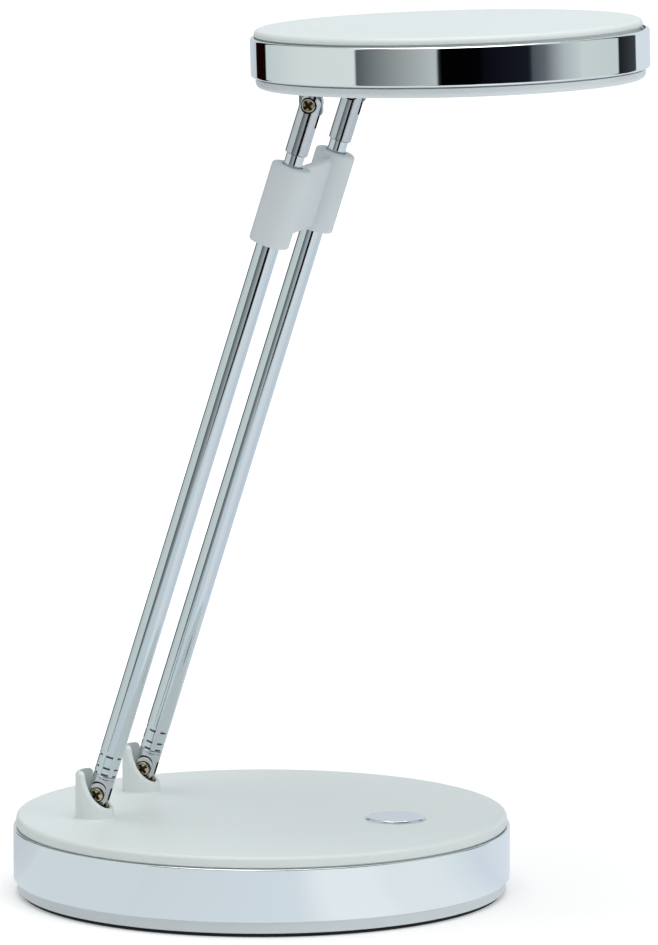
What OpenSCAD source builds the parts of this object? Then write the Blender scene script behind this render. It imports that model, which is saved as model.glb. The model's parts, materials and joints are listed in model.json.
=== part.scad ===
// Desk lamp with a round weighted base, two telescopic arms and a flat round light head.
// Origin: centre of the underside of the foot pad. +Z is up, +X runs from the arms to the button.
// The arms are drawn as they stand at rest. Each one is built along its own axis.

/* [Base] */
// Outside diameter of the bright ring of the base
base_d = 150; // [138:1:180]
// Height of the bright ring of the base
base_ring_h = 15.85; // [15:0.05:20]
// Wall of both bright rings
ring_wall = 1.2; // [0.8:0.1:1.6]
// How far a white cover stays inside the outside of its ring
cover_inset = 0.9; // [0.8:0.1:2]
// Height of the base cover above the joint line
base_cover_h = 2.95; // [2.85:0.05:6]
// Thickness of the top plate of the base cover
base_cover_t = 2.2; // [1.8:0.1:2.8]
// Rounding of the base cover's edge
base_edge_r = 1.2; // [1:0.1:2.8]
// Height of the joint line between a ring and its cover
joint_line = 0.6; // [0.2:0.05:0.8]
// Height of the skirt that shows under the base ring
skirt_h = 3.5; // [2:0.1:4]
// How far the foot pad stands out under the skirt
pad_proud = 1.2; // [0.5:0.1:1.5]
// Thickness of the foot pad
pad_t = 1.6; // [1:0.1:2]
// Diameter of the foot pad
pad_d = 145; // [100:1:146]
// Wall of the plastic housings
shell_t = 2; // [1.6:0.1:2.4]
// Thickness of the floor of the base housing
floor_t = 2.2; // [1.8:0.1:3]
// Diameter of the ballast disc
ballast_d = 114; // [90:1:118]
// Thickness of the ballast disc
ballast_t = 5.6; // [4:0.1:6]

/* [Hinge cups] */
// Distance from the centre of the base back to the hinge cups
cup_back = 45.4; // [40:0.5:52]
// Outside diameter of a hinge cup
cup_d = 11.6; // [11:0.1:13]
// Bore of a hinge cup
cup_bore = 8.6; // [8.4:0.1:9]
// Height of the cup's back wall over the cover
cup_h = 14.6; // [12:0.1:16]
// Height of the cup's front lip over the cover
cup_lip = 2.8; // [1.5:0.1:3]
// Radius of the hollow cut that shapes the cup's rim
cup_sweep_r = 15; // [11:0.5:16]

/* [Arms] */
// Distance between the two arms
arm_pitch = 47; // [40:0.5:60]
// Distance from the centre of the base back to the lower hinge axis
pivot_back = 44; // [40:0.5:50]
// Height of the lower hinge axis over the base cover
pivot_rise = 7.5; // [6.5:0.1:9]
// Forward lean of the arms at rest, in degrees
arm_lean = 17.6; // [0:0.1:40]
// Length from the lower hinge axis to the top of the cross block
lower_arm_l = 200.6; // [140:1:260]
// Outside diameter of the outer tubes
outer_tube_d = 7.1; // [7:0.05:7.4]
// Wall of the outer tubes
outer_tube_t = 0.45; // [0.3:0.05:0.5]
// Outside diameter of the inner tubes
inner_tube_d = 5.6; // [5.2:0.05:5.7]
// Wall of the inner tubes
inner_tube_t = 0.5; // [0.3:0.05:0.8]
// Length of inner tube that shows between cross block and upper fork at rest
rest_gap = 3.6; // [3.2:0.1:30]
// Travel of the telescope from rest
slide_out = 105; // [60:1:110]
// Length of the cross block
block_l = 24.6; // [20:0.1:32]
// Diameter of the cross block's barrels
barrel_d = 12.2; // [11:0.1:14]
// Thickness of the web between the barrels
web_t = 3; // [2:0.1:5]

/* [Forks and pivots] */
// Outside diameter of the lower forks
lower_fork_d = 6.9; // [6.8:0.05:7]
// Length of a lower fork from its axis to the tube's end
lower_fork_l = 6.3; // [5.2:0.1:9]
// Length of the lower fork's shank inside the tube
shank_l = 10; // [6:0.5:14]
// Outside diameter of the upper forks
upper_fork_d = 6.9; // [6.6:0.05:7]
// Length of an upper fork from its axis to its lower end
upper_fork_l = 15.4; // [15:0.1:20]
// Depth of the upper fork's slot under its axis
upper_slot_l = 6.2; // [6:0.1:8]
// Thickness of the hinge lugs
lug_t = 1.6; // [1.2:0.05:1.7]
// Thickness of a friction washer
washer_t = 0.3; // [0.2:0.05:0.35]
// Thickness of a fork ear at the screw's seat
ear_t = 1.15; // [1:0.05:1.2]
// Shank diameter of the pivot screws
pivot_d = 2.5; // [2:0.1:2.6]
// Head diameter of the pivot screws
pivot_head_d = 4.1; // [3.8:0.1:4.3]
// Head height of the pivot screws
pivot_head_h = 1.05; // [0.8:0.05:1.1]

/* [Head] */
// Outside diameter of the bright ring of the head
head_d = 118.4; // [108:0.2:130]
// Height of the bright ring of the head
head_ring_h = 11.7; // [11:0.1:15]
// Height of the head cover above the joint line
head_cover_h = 2.2; // [2.1:0.1:4]
// Thickness of the top plate of the head cover
head_cover_t = 1.8; // [1.4:0.1:2.1]
// Rounding of the head cover's edge
head_edge_r = 1.4; // [0.8:0.1:2.1]
// Height of the head housing's rim under the ring
head_rim_h = 3.2; // [2.4:0.1:4]
// Height from the upper hinge axis to the underside of the head
head_rise = 4.6; // [4.2:0.1:6]
// Distance from the upper hinge axis forward to the middle of the head
head_reach = 36.4; // [36:0.1:42]
// Angle by which the head's front is raised at rest
head_tilt = 1.6; // [-5:0.1:10]
// Diameter of the light window
window_d = 70; // [50:1:72]

/* [Button] */
// Distance from the centre of the base forward to the button
button_fwd = 42; // [36:0.5:48]
// Diameter of the button
button_d = 18; // [14:0.5:20]
// Height of the button over the cover
button_proud = 0.9; // [0.8:0.05:1.5]
// Travel of the button
button_travel = 0.7; // [0.4:0.05:0.7]

/* [Power inlet] */
// Diameter of the inlet's centre pin
jack_pin_d = 2; // [1.6:0.1:2.5]
// Diameter of the inlet's mouth
jack_mouth_d = 6; // [5.7:0.1:6.4]
// Diameter of the inlet's nose
jack_nose_d = 8; // [7.6:0.1:8.4]

/* [Hidden] */
$fn = 72;

// Sides of the lamp, by the sign of Y
front = -1;
rear = 1;

// Clearances between pieces
run_gap = 0.05;     // a pin in its bore, or a slider on its tube
seat_gap = 0.02;    // a piece pressed or glued in its seat
slip_gap = 0.1;     // the button in its hole
part_gap = 0.3;     // a shell inside another
cut = 1;            // how far a cutter passes the face it leaves by
lap = 0.2;          // how far joined shapes run into each other

// Heights in the base
skirt_z = pad_proud;
base_ring_z = skirt_z + skirt_h;
base_ring_top = base_ring_z + base_ring_h;
base_cover_z = base_ring_top + joint_line;
base_top = base_cover_z + base_cover_h;
base_under = base_top - base_cover_t;
floor_z = skirt_z + floor_t;
ballast_top = floor_z + ballast_t;

// Radii in the base
base_r = base_d / 2;
base_cover_r = base_r - cover_inset;
base_shell_r = base_r - ring_wall - part_gap;
base_inner_r = base_shell_r - shell_t;
skirt_inset = 1.2;
skirt_r = base_r - skirt_inset;
skirt_edge_r = 0.6;
ring_bevel_low = 0.3;
ring_bevel_top = 0.6;
spigot_l = 4.4;

// Screws of the base
tower_angle = 45;
tower_inset = 6.6;
tower_r = base_inner_r - tower_inset;
tower_d = 6.4;
boss_d = 5.6;
tap_d = 2.2;
screw_d = 2.4;
screw_head_d = 4.2;
screw_head_h = 1.3;
screw_clear = 0.4;
head_clear = 0.6;
recess_span = 0.62;
recess_w = 0.16;
recess_depth = 0.5;
tower_h = 5;
tap_depth = 5;
bite = 4;

// Ballast fixing
ballast_hole_inset = 8;
ballast_hole_r = ballast_d / 2 - ballast_hole_inset;
ballast_boss_d = 6;
ballast_boss_h = 2.6;
ballast_bite = 0.4;
ballast_blind = 0.6;

// Cups
cup_rim_t = 3.5;
cup_foot_r = 0.7;

// Lower hinge and arm axis
pivot_x = -pivot_back;
pivot_z = base_top + pivot_rise;
arm_y = arm_pitch / 2;
block_top_s = lower_arm_l;
block_low_s = block_top_s - block_l;
sleeve_s = block_top_s + rest_gap;
head_pivot_s = sleeve_s + upper_fork_l;
head_pivot_x = pivot_x + head_pivot_s * sin(arm_lean);
head_pivot_z = pivot_z + head_pivot_s * cos(arm_lean);

// Fork and lug sizes shared by both hinges
slot_w = lug_t + 2 * washer_t + 2 * run_gap;
ear_y = slot_w / 2 + ear_t;
base_lug_w = 5;
head_lug_w = 7;
slot_clear = 1.7;
lower_slot_l = base_lug_w / 2 + slot_clear;
lower_flat_r = 3.6;
lower_flat_rise = 0.8;
washer_d = 5.4;
pivot_tip_l = 0.8;
pocket_clear = 0.8;
outer_bore = outer_tube_d - 2 * outer_tube_t;
crimp_rows = [2.6, 6.2];
crimp_count = 6;
crimp_d = 0.9;
crimp_l = 1.7;
crimp_out = 0.15;

// Cross block
barrel_top_r = 1;
barrel_low_r = 0.8;
web_low = 0.9;
web_high = 1.6;

// Bushes and telescope
bush_l = 10;
guide_l = 6;
guide_lip = 0.6;
guide_step = 0.3;
guide_d = outer_tube_d - 2 * guide_step;
guide_s = block_top_s - guide_l;
stop_gap = 1.5;
slider_s = block_low_s - slide_out - bush_l - stop_gap;
slot_floor = 0.6;
inner_top_s = head_pivot_s - upper_slot_l - slot_floor;

// Base lugs
lug_flange_t = 1.6;
lug_boss_h = 6;
lug_flange_z = base_under - lug_boss_h;
lug_screw_x = 9;
lug_flange_w = 8;
lug_flange_end = 3;
lug_flange_l = 2 * (lug_screw_x + lug_flange_end);
lug_stem_front = sqrt(pow(cup_bore / 2 - part_gap, 2) - pow(lug_t / 2, 2)) - cup_back;

// Button and switch
button_r = button_d / 2;
button_flange = 1.2;
button_flange_t = 1.2;
button_flange_z = base_under - run_gap - button_flange_t;
stem_d = 4;
stem_l = 1.5;
stem_stop = 0.1;
button_edge_r = 0.5;
switch_w = 6;
switch_h = 3.5;
plunger_d = 3.4;
plunger_h = 0.8;
board_l = 34;
board_w = 26;
board_t = 1.6;
switch_z = button_flange_z - stem_l - button_travel - stem_stop - plunger_h - switch_h;
board_z = switch_z - board_t;
board_back = 5;
board_screw_inset = 3.5;
driver_at = [4, 3, 0];
driver_size = [5, 4, 1.5];
coil_at = [4, -6, 0];
coil_size = [6, 6, 2.8];
capacitor_at = [12, 9, 0];
capacitor_d = 4;
capacitor_h = 4.6;
board_x = button_fwd - board_back;
board_screw_x = board_l / 2 - board_screw_inset;
board_screw_y = board_w / 2 - board_screw_inset;
board_boss_d = 5;
spring_r = 5.4;
spring_wire = 0.6;
spring_turns = 4;
coil_steps = 14;
coil_sides = 8;

// Inlet
jack_z = (base_ring_z + base_ring_top) / 2;
jack_l = 14;
jack_w = 9;
jack_nose_l = 3.6;
jack_sunk = 0.2;
jack_face_x = -base_r + jack_sunk;
jack_body_x = jack_face_x + jack_nose_l;
jack_tail_x = jack_face_x + jack_l;
jack_depth = 9.5;
jack_pin_l = 7.5;
jack_hole_d = jack_nose_d + screw_clear;
jack_seat_h = 2;
jack_h = 2 * (jack_z - floor_z - jack_seat_h);

// Lead wires
wire_d = 1.2;
wire_bend_d = 1.26;
wire_rise = 0.2;
base_wire_z = ballast_top + wire_d / 2 + wire_rise;
jack_lead_y = 3.2;
feed_inset = 3;
feed_step = 4;
board_lead_y = 8;
lug_lead_out = 3.5;
head_lead_in = 3;
head_lead_rise = 2;
head_pad_back = 20;

// Heights in the head, over the upper hinge axis
head_ring_z = head_rise + head_rim_h;
head_ring_top = head_ring_z + head_ring_h;
head_cover_z = head_ring_top + joint_line;
head_top = head_cover_z + head_cover_h;
head_under = head_top - head_cover_t;
head_floor_t = 2.2;
head_floor_z = head_rise + head_floor_t;
head_r = head_d / 2;
head_cover_extra = 0.5;
head_cover_r = head_r - cover_inset - head_cover_extra;
head_shell_r = head_r - ring_wall - part_gap;
head_shell_t = 1.6;
head_inner_r = head_shell_r - head_shell_t;
head_spigot_l = 3;
head_rim_inset = 1.4;
head_rim_r = head_r - head_rim_inset;
head_rim_edge_r = 1.6;
head_tower_inset = 4.2;
head_tower_h = 2.4;
head_tower_r = head_inner_r - head_tower_inset;
head_tower_angles = [20, 100, 260, 340];

// Light
window_r = window_d / 2;
diffuser_lip = 2;
diffuser_lip_t = 1.1;
spreader_over = 8;
spreader_d = window_d + 2 * spreader_over;
spreader_t = 1.5;
led_board_inset = 1;
led_board_d = window_d - 2 * led_board_inset;
led_board_t = 1.6;
led_gap = 5.4;
led_board_z = head_floor_z + led_gap;
spreader_z = led_board_z + led_board_t;
spreader_post_out = 5.4;
spreader_post_r = window_r + spreader_post_out;
spreader_post_angles = [0, 100, 260];
spreader_post_d = 4.6;
spreader_notch = 20;
led_size = 2.8;
led_h = 0.7;
reflector_t = 0.8;
reflector_in = 1.5;
led_margin = 4.5;
led_pitch = 10;
led_least_r = 6;
led_step = 6;
led_outer_r = led_board_d / 2 - reflector_in - led_margin;
led_ring_count = 1 + floor((led_outer_r - led_least_r) / led_pitch);
head_lug_flange_t = 1.4;
head_lug_screw_y = 6;
head_lug_screw_l = 1.6;
head_lug_corner_r = 1.8;
head_lug_gap = 0.2;
head_lug_flange_l = 2 * (head_lug_screw_y + lug_flange_end);

// Profile of a disc of radius r and height h, with its outer edges rounded
module disc_profile(r, h, top_r, low_r) {
    square([r - max(top_r, low_r), h]);
    translate([0, low_r]) square([r, h - top_r - low_r]);
    if (top_r > 0) intersection() {
        translate([r - top_r, h - top_r]) circle(top_r);
        square([r + cut, h + cut]);
    }
    if (top_r > low_r) square([r - top_r, h]);
    if (low_r > top_r) translate([0, low_r]) square([r - top_r, h - low_r]);
    if (low_r > 0) intersection() {
        translate([r - low_r, low_r]) circle(low_r);
        square([r + cut, h + cut]);
    }
}

// Bright ring, with a bevel on its outer edges
module bright_ring(r, h) {
    rotate_extrude($fn = 180)
        polygon([[r - ring_wall, 0], [r - ring_bevel_low, 0], [r, ring_bevel_low],
                 [r, h - ring_bevel_top], [r - ring_bevel_top, h], [r - ring_wall, h]]);
}

// Straight tube with both ends open
module tube(d, t, l) {
    difference() {
        cylinder(d = d, h = l);
        translate([0, 0, -cut]) cylinder(d = d - 2 * t, h = l + 2 * cut);
    }
}

// Screw with its head's top at z = 0 and its shank running down, cross recess in the head
module screw(shank_d, shank_l, cap_d, cap_h) {
    difference() {
        union() {
            translate([0, 0, -cap_h]) cylinder(d = cap_d, h = cap_h);
            translate([0, 0, -cap_h - shank_l]) cylinder(d = shank_d, h = shank_l + cap_h / 2);
        }
        for (a = [0, 90]) rotate([0, 0, a])
            cube([cap_d * recess_span, cap_d * recess_w, 2 * cap_h * recess_depth], center = true);
    }
}

// Round wire of straight runs with rounded corners, through the points given
module wire(points) {
    for (i = [0 : len(points) - 2]) {
        run = points[i + 1] - points[i];
        translate(points[i])
            rotate([0, acos(run[2] / norm(run)), atan2(run[1], run[0])])
                cylinder(d = wire_d, h = norm(run), $fn = 24);
    }
    for (i = [1 : len(points) - 2]) translate(points[i]) sphere(d = wire_bend_d, $fn = 24);
}

// Places children on the axis of one arm, s along it from the lower hinge axis
module on_arm(side, s = 0) {
    translate([pivot_x, side * arm_y, pivot_z]) rotate([0, arm_lean, 0]) translate([0, 0, s]) children();
}

// Places children in the head's own frame, with the upper hinge axis as its Y axis
module on_head() {
    translate([head_pivot_x, 0, head_pivot_z]) rotate([0, -head_tilt, 0]) children();
}

// Places children at each screw tower of the base
module at_towers() {
    for (i = [0 : 3]) rotate([0, 0, tower_angle + 90 * i]) translate([tower_r, 0, 0]) children();
}

// Places children at each fixing of the ballast
module at_ballast_fixings() {
    for (a = [60, 180, 300]) rotate([0, 0, a]) translate([ballast_hole_r, 0, 0]) children();
}

// Places children at each screw of one base lug
module at_lug_screws(side) {
    for (k = [-1, 1]) translate([-cup_back + k * lug_screw_x, side * arm_y, 0]) children();
}

// Places children at each screw of the control board
module at_board_screws() {
    for (k = [-1, 1]) translate([board_x + k * board_screw_x, k * board_screw_y, 0]) children();
}

// Hinge cup as it stands on the cover, before its bore is cut
module cup_wall() {
    sweep_z = cup_lip + sqrt(pow(cup_sweep_r, 2) - pow(cup_sweep_x() - cup_d / 2, 2));
    difference() {
        union() {
            cylinder(d = cup_d, h = cup_h);
            cup_foot();
        }
        translate([cup_sweep_x(), 0, sweep_z]) rotate([90, 0, 0])
            cylinder(r = cup_sweep_r, h = 2 * cup_d, center = true);
        translate([cup_sweep_x(), -cup_d, sweep_z]) cube([cup_d, 2 * cup_d, cup_h]);
    }
}

// Centre of the rim's hollow cut, in front of the cup's axis
function cup_sweep_x() = cup_sweep_r - cup_d / 2 + cup_rim_t;

// Small fillet round the foot of a cup
module cup_foot() {
    rotate_extrude() difference() {
        translate([cup_d / 2 - lap, 0]) square([cup_foot_r + lap, cup_foot_r]);
        translate([cup_d / 2 + cup_foot_r, cup_foot_r]) circle(cup_foot_r, $fn = 32);
    }
}

module base_cover() {
    color("gainsboro") difference() {
        union() {
            translate([0, 0, base_cover_z]) rotate_extrude($fn = 180)
                disc_profile(base_cover_r, base_cover_h, base_edge_r, 0);
            translate([0, 0, base_cover_z - spigot_l])
                cylinder(r = base_shell_r, h = spigot_l + lap, $fn = 180);
            for (side = [front, rear]) translate([-cup_back, side * arm_y, base_top]) cup_wall();
        }
        difference() {
            translate([0, 0, base_cover_z - spigot_l - cut])
                cylinder(r = base_inner_r, h = base_under - base_cover_z + spigot_l + cut, $fn = 180);
            at_towers() translate([0, 0, floor_z + tower_h]) cylinder(d = boss_d, h = base_ring_top);
            for (side = [front, rear]) at_lug_screws(side)
                translate([0, 0, lug_flange_z]) cylinder(d = boss_d, h = lug_boss_h + cut);
            at_board_screws() translate([0, 0, board_z + board_t])
                cylinder(d = board_boss_d, h = base_under);
        }
        at_towers() translate([0, 0, floor_z + tower_h - cut])
            cylinder(d = tap_d, h = base_under - floor_z - tower_h + cut);
        for (side = [front, rear]) {
            translate([-cup_back, side * arm_y, base_under - cut])
                cylinder(d = cup_bore, h = base_cover_t + cup_h + 2 * cut);
            at_lug_screws(side) translate([0, 0, lug_flange_z - cut])
                cylinder(d = tap_d, h = lug_boss_h + cut);
        }
        at_board_screws() translate([0, 0, board_z + board_t - cut])
            cylinder(d = tap_d, h = base_under - board_z - board_t + cut);
        translate([button_fwd, 0, base_under - cut])
            cylinder(r = button_r + slip_gap, h = base_cover_t + 2 * cut);
        inlet_hole();
    }
}

module base_ring() {
    color("lightsteelblue") difference() {
        translate([0, 0, base_ring_z]) bright_ring(base_r, base_ring_h);
        inlet_hole();
    }
}

// Hole for the inlet's nose, through the ring, the housing and the cover's spigot at the back
module inlet_hole() {
    translate([jack_face_x - cut, 0, jack_z]) rotate([0, 90, 0])
        cylinder(d = jack_hole_d, h = jack_nose_l + shell_t + cut);
}

module base_housing() {
    wall_top = base_cover_z - spigot_l - part_gap;
    color("silver") difference() {
        union() {
            translate([0, 0, skirt_z]) rotate_extrude($fn = 180)
                disc_profile(skirt_r, skirt_h, 0, skirt_edge_r);
            translate([0, 0, base_ring_z - lap])
                cylinder(r = base_shell_r, h = wall_top - base_ring_z + lap, $fn = 180);
        }
        difference() {
            translate([0, 0, floor_z]) cylinder(r = base_inner_r, h = base_ring_h + cut, $fn = 180);
            at_towers() translate([0, 0, floor_z - cut]) cylinder(d = tower_d, h = tower_h + cut);
            at_ballast_fixings() translate([0, 0, floor_z - cut])
                cylinder(d = ballast_boss_d, h = ballast_boss_h + cut);
            translate([jack_body_x, -jack_w / 2, floor_z - cut])
                cube([jack_l - jack_nose_l, jack_w, jack_seat_h + cut]);
        }
        translate([0, 0, -cut]) cylinder(d = pad_d + 2 * part_gap, h = pad_t + cut, $fn = 180);
        at_towers() {
            translate([0, 0, -cut]) cylinder(d = screw_d + screw_clear, h = floor_z + tower_h + 2 * cut);
            translate([0, 0, -cut])
                cylinder(d = screw_head_d + head_clear, h = pad_t + screw_head_h + cut + lap);
        }
        at_ballast_fixings() translate([0, 0, pad_t + ballast_blind])
            cylinder(d = tap_d, h = floor_z + ballast_boss_h);
        inlet_hole();
    }
}

module foot_pad() {
    color("black") cylinder(d = pad_d, h = pad_t, $fn = 180);
}

module ballast_weight() {
    color("dimgray") difference() {
        translate([0, 0, floor_z]) cylinder(d = ballast_d, h = ballast_t, $fn = 120);
        at_ballast_fixings() {
            translate([0, 0, floor_z - cut])
                cylinder(d = ballast_boss_d + 2 * part_gap, h = ballast_boss_h + part_gap + cut);
            cylinder(d = screw_d + head_clear, h = base_ring_top);
        }
        at_towers() translate([0, 0, floor_z - cut])
            cylinder(d = tower_d + 2 * part_gap, h = ballast_t + 2 * cut);
        translate([-base_r, -jack_w / 2 - part_gap, floor_z - cut])
            cube([base_r + jack_tail_x + part_gap, jack_w + 2 * part_gap, ballast_t + 2 * cut]);
    }
}

module control_board() {
    color("seagreen") difference() {
        translate([board_x - board_l / 2, -board_w / 2, board_z]) cube([board_l, board_w, board_t]);
        at_board_screws() translate([0, 0, board_z - cut])
            cylinder(d = screw_d + screw_clear, h = board_t + 2 * cut);
    }
}

module board_components() {
    color("black") translate([board_x - board_l / 2, 0, board_z + board_t]) {
        translate(driver_at) cube(driver_size);
        translate(coil_at) cube(coil_size);
        translate(capacitor_at) cylinder(d = capacitor_d, h = capacitor_h);
    }
}

module tact_switch() {
    color("gray") {
        translate([button_fwd - switch_w / 2, -switch_w / 2, switch_z])
            cube([switch_w, switch_w, switch_h]);
        translate([button_fwd, 0, switch_z + switch_h / 2])
            cylinder(d = plunger_d, h = switch_h / 2 + plunger_h);
    }
}

module dc_inlet() {
    color("darkslategray") {
        difference() {
            union() {
                translate([jack_body_x, -jack_w / 2, jack_z - jack_h / 2])
                    cube([jack_l - jack_nose_l, jack_w, jack_h]);
                translate([jack_face_x, 0, jack_z]) rotate([0, 90, 0])
                    cylinder(d = jack_nose_d, h = jack_nose_l + lap);
            }
            translate([jack_face_x - cut, 0, jack_z]) rotate([0, 90, 0])
                cylinder(d = jack_mouth_d, h = jack_depth + cut);
        }
        translate([jack_face_x + jack_depth - jack_pin_l, 0, jack_z]) rotate([0, 90, 0])
            cylinder(d = jack_pin_d, h = jack_pin_l + lap);
    }
}

// Lug that stands in a hinge cup, with its flange under the cover
module base_lug(side) {
    stem_z = lug_flange_z - lug_flange_t / 2;
    color("darkkhaki") difference() {
        union() {
            translate([-cup_back, side * arm_y, lug_flange_z - lug_flange_t / 2])
                cube([lug_flange_l, lug_flange_w, lug_flange_t], center = true);
            translate([pivot_x - base_lug_w / 2, side * arm_y - lug_t / 2, stem_z])
                cube([lug_stem_front - pivot_x + base_lug_w / 2, lug_t, pivot_z - stem_z]);
            translate([pivot_x, side * arm_y, pivot_z]) rotate([90, 0, 0])
                cylinder(d = base_lug_w, h = lug_t, center = true);
        }
        translate([pivot_x, side * arm_y, pivot_z]) rotate([90, 0, 0])
            cylinder(d = pivot_d + 2 * run_gap, h = lug_t + 2 * cut, center = true);
        at_lug_screws(side) translate([0, 0, lug_flange_z - lug_flange_t - cut])
            cylinder(d = screw_d + screw_clear, h = lug_flange_t + 2 * cut);
    }
}

module base_lug_front() { base_lug(front); }
module base_lug_rear() { base_lug(rear); }

module base_lug_screws() {
    color("silver") for (side = [front, rear]) at_lug_screws(side)
        translate([0, 0, lug_flange_z - lug_flange_t - screw_head_h]) rotate([180, 0, 0])
            screw(tap_d - 2 * seat_gap, lug_flange_t + bite, screw_head_d, screw_head_h);
}

module base_housing_screws() {
    color("silver") at_towers() translate([0, 0, pad_t + lap]) rotate([180, 0, 0])
        screw(tap_d - 2 * seat_gap, floor_z + tower_h + tap_depth - pad_t, screw_head_d, screw_head_h);
}

module ballast_screws() {
    color("silver") at_ballast_fixings() translate([0, 0, ballast_top + screw_head_h])
        screw(tap_d - 2 * seat_gap, ballast_t + ballast_bite, screw_head_d, screw_head_h);
}

module board_screws() {
    color("silver") at_board_screws() translate([0, 0, board_z - screw_head_h]) rotate([180, 0, 0])
        screw(tap_d - 2 * seat_gap, board_t + bite, screw_head_d, screw_head_h);
}

module base_lead_wires() {
    feed_x = board_x - board_l / 2 + feed_inset;
    lug_lead_x = pivot_x + lug_lead_out;
    color("firebrick") {
        for (y = [-jack_lead_y, jack_lead_y])
            wire([[jack_tail_x, y, base_wire_z], [feed_x, y, base_wire_z], [feed_x, y, board_z]]);
        for (side = [front, rear]) wire([[feed_x + feed_step, side * board_lead_y, board_z],
                                         [feed_x + feed_step, side * board_lead_y, base_wire_z],
                                         [lug_lead_x, side * arm_y, base_wire_z],
                                         [lug_lead_x, side * arm_y, lug_flange_z - lug_flange_t]]);
    }
}

// Ring of points round the spring's wire, at step i of its helix
function coil_ring(r, wire, h, i, steps) =
    let (a = 360 * spring_turns * i / steps, z = wire / 2 + (h - wire) * i / steps)
    [for (j = [0 : coil_sides - 1]) let (b = 360 * j / coil_sides, x = r + wire / 2 * cos(b))
        [x * cos(a), x * sin(a), z + wire / 2 * sin(b)]];

module button_spring() {
    h = button_flange_z - board_z - board_t;
    steps = coil_steps * spring_turns;
    rings = [for (i = [0 : steps]) coil_ring(spring_r, spring_wire, h, i, steps)];
    sides = [for (i = [0 : steps - 1], j = [0 : coil_sides - 1]) let (k = (j + 1) % coil_sides)
        [i * coil_sides + j, i * coil_sides + k, (i + 1) * coil_sides + k, (i + 1) * coil_sides + j]];
    start_cap = [for (j = [0 : coil_sides - 1]) coil_sides - 1 - j];
    end_cap = [for (j = [0 : coil_sides - 1]) steps * coil_sides + j];
    color("silver") translate([button_fwd, 0, board_z + board_t])
        polyhedron([for (ring = rings) each ring], concat(sides, [start_cap, end_cap]));
}

module power_button() {
    color("lightsteelblue") translate([button_fwd, 0, 0]) {
        translate([0, 0, base_under - run_gap]) rotate_extrude()
            disc_profile(button_r, base_cover_t + run_gap + button_proud, button_edge_r, 0);
        translate([0, 0, button_flange_z]) cylinder(r = button_r + button_flange, h = button_flange_t);
        translate([0, 0, button_flange_z - stem_l]) cylinder(d = stem_d, h = stem_l + lap);
    }
}

// Fork at the foot of an arm, with flats milled for the screw and a shank inside the tube
module lower_fork(side) {
    r = lower_fork_d / 2;
    color("lightgray") on_arm(side) difference() {
        union() {
            cylinder(d = lower_fork_d, h = lower_fork_l);
            intersection() {
                translate([0, 0, -r]) cylinder(d = lower_fork_d, h = 2 * r);
                rotate([90, 0, 0]) cylinder(r = r, h = lower_fork_d, center = true);
            }
            translate([0, 0, lower_fork_l - lap])
                cylinder(d = outer_bore - 2 * seat_gap, h = shank_l + lap);
        }
        translate([-r - cut, -slot_w / 2, -r - cut])
            cube([lower_fork_d + 2 * cut, slot_w, r + cut + lower_slot_l]);
        for (k = [-1, 1]) translate([0, k * (ear_y + r), 0]) {
            translate([0, 0, lower_flat_rise]) rotate([90, 0, 0])
                cylinder(r = lower_flat_r, h = 2 * r, center = true);
            translate([-lower_flat_r, -r, -r - cut])
                cube([2 * lower_flat_r, 2 * r, r + cut + lower_flat_rise]);
        }
        rotate([90, 0, 0]) cylinder(d = pivot_d + 2 * seat_gap, h = lower_fork_d + cut, center = true);
    }
}

module lower_fork_front() { lower_fork(front); }
module lower_fork_rear() { lower_fork(rear); }

// Outer tube, with two rows of crimps that hold the fork's shank
module outer_tube(side) {
    color("lightgray") on_arm(side, lower_fork_l) difference() {
        tube(outer_tube_d, outer_tube_t, guide_s - lower_fork_l);
        for (z = crimp_rows, i = [0 : crimp_count - 1]) rotate([0, 0, 360 / crimp_count * (i + 0.5)])
            translate([outer_tube_d / 2 + crimp_out, 0, z]) rotate([90, 0, 0])
                cylinder(d = crimp_d, h = crimp_l, center = true, $fn = 24);
    }
}

module outer_tube_front() { outer_tube(front); }
module outer_tube_rear() { outer_tube(rear); }

// Pivot screw across one fork, its head on the -Y side
module pivot_screw() {
    rotate([90, 0, 0]) translate([0, 0, ear_y + pivot_head_h])
        screw(pivot_d, 2 * ear_y + pivot_tip_l, pivot_head_d, pivot_head_h);
}

// Round nut on the +Y side of one fork
module pivot_nut() {
    rotate([-90, 0, 0]) translate([0, 0, ear_y]) difference() {
        cylinder(d = pivot_head_d, h = pivot_head_h);
        translate([0, 0, -cut]) cylinder(d = pivot_d + 2 * seat_gap, h = pivot_head_h + 2 * cut);
    }
}

// Pair of friction washers between a lug and the fork's ears
module pivot_washers() {
    for (k = [-1, 1]) translate([0, k * (lug_t / 2 + run_gap + washer_t / 2), 0]) rotate([90, 0, 0])
        difference() {
            cylinder(d = washer_d, h = washer_t, center = true);
            cylinder(d = pivot_d + 2 * run_gap, h = washer_t + cut, center = true);
        }
}

module base_pivot_screws() {
    color("rosybrown") for (side = [front, rear]) on_arm(side) pivot_screw();
}

module base_pivot_nuts() {
    color("rosybrown") for (side = [front, rear]) on_arm(side) pivot_nut();
}

module base_pivot_washers() {
    color("khaki") for (side = [front, rear]) on_arm(side) pivot_washers();
}

module cross_block() {
    lower_l = block_l - guide_l;
    color("whitesmoke") difference() {
        union() {
            for (side = [front, rear]) on_arm(side, block_low_s) rotate_extrude()
                disc_profile(barrel_d / 2, block_l, barrel_top_r, barrel_low_r);
            on_arm(front, block_low_s + web_low) translate([-web_t / 2, 0, 0])
                cube([web_t, arm_pitch, block_l - web_low - web_high]);
        }
        for (side = [front, rear]) on_arm(side, block_low_s) {
            translate([0, 0, -cut]) cylinder(d = outer_tube_d + 2 * seat_gap, h = lower_l + cut);
            cylinder(d = guide_d + 2 * seat_gap, h = block_l + cut);
        }
    }
}

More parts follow.
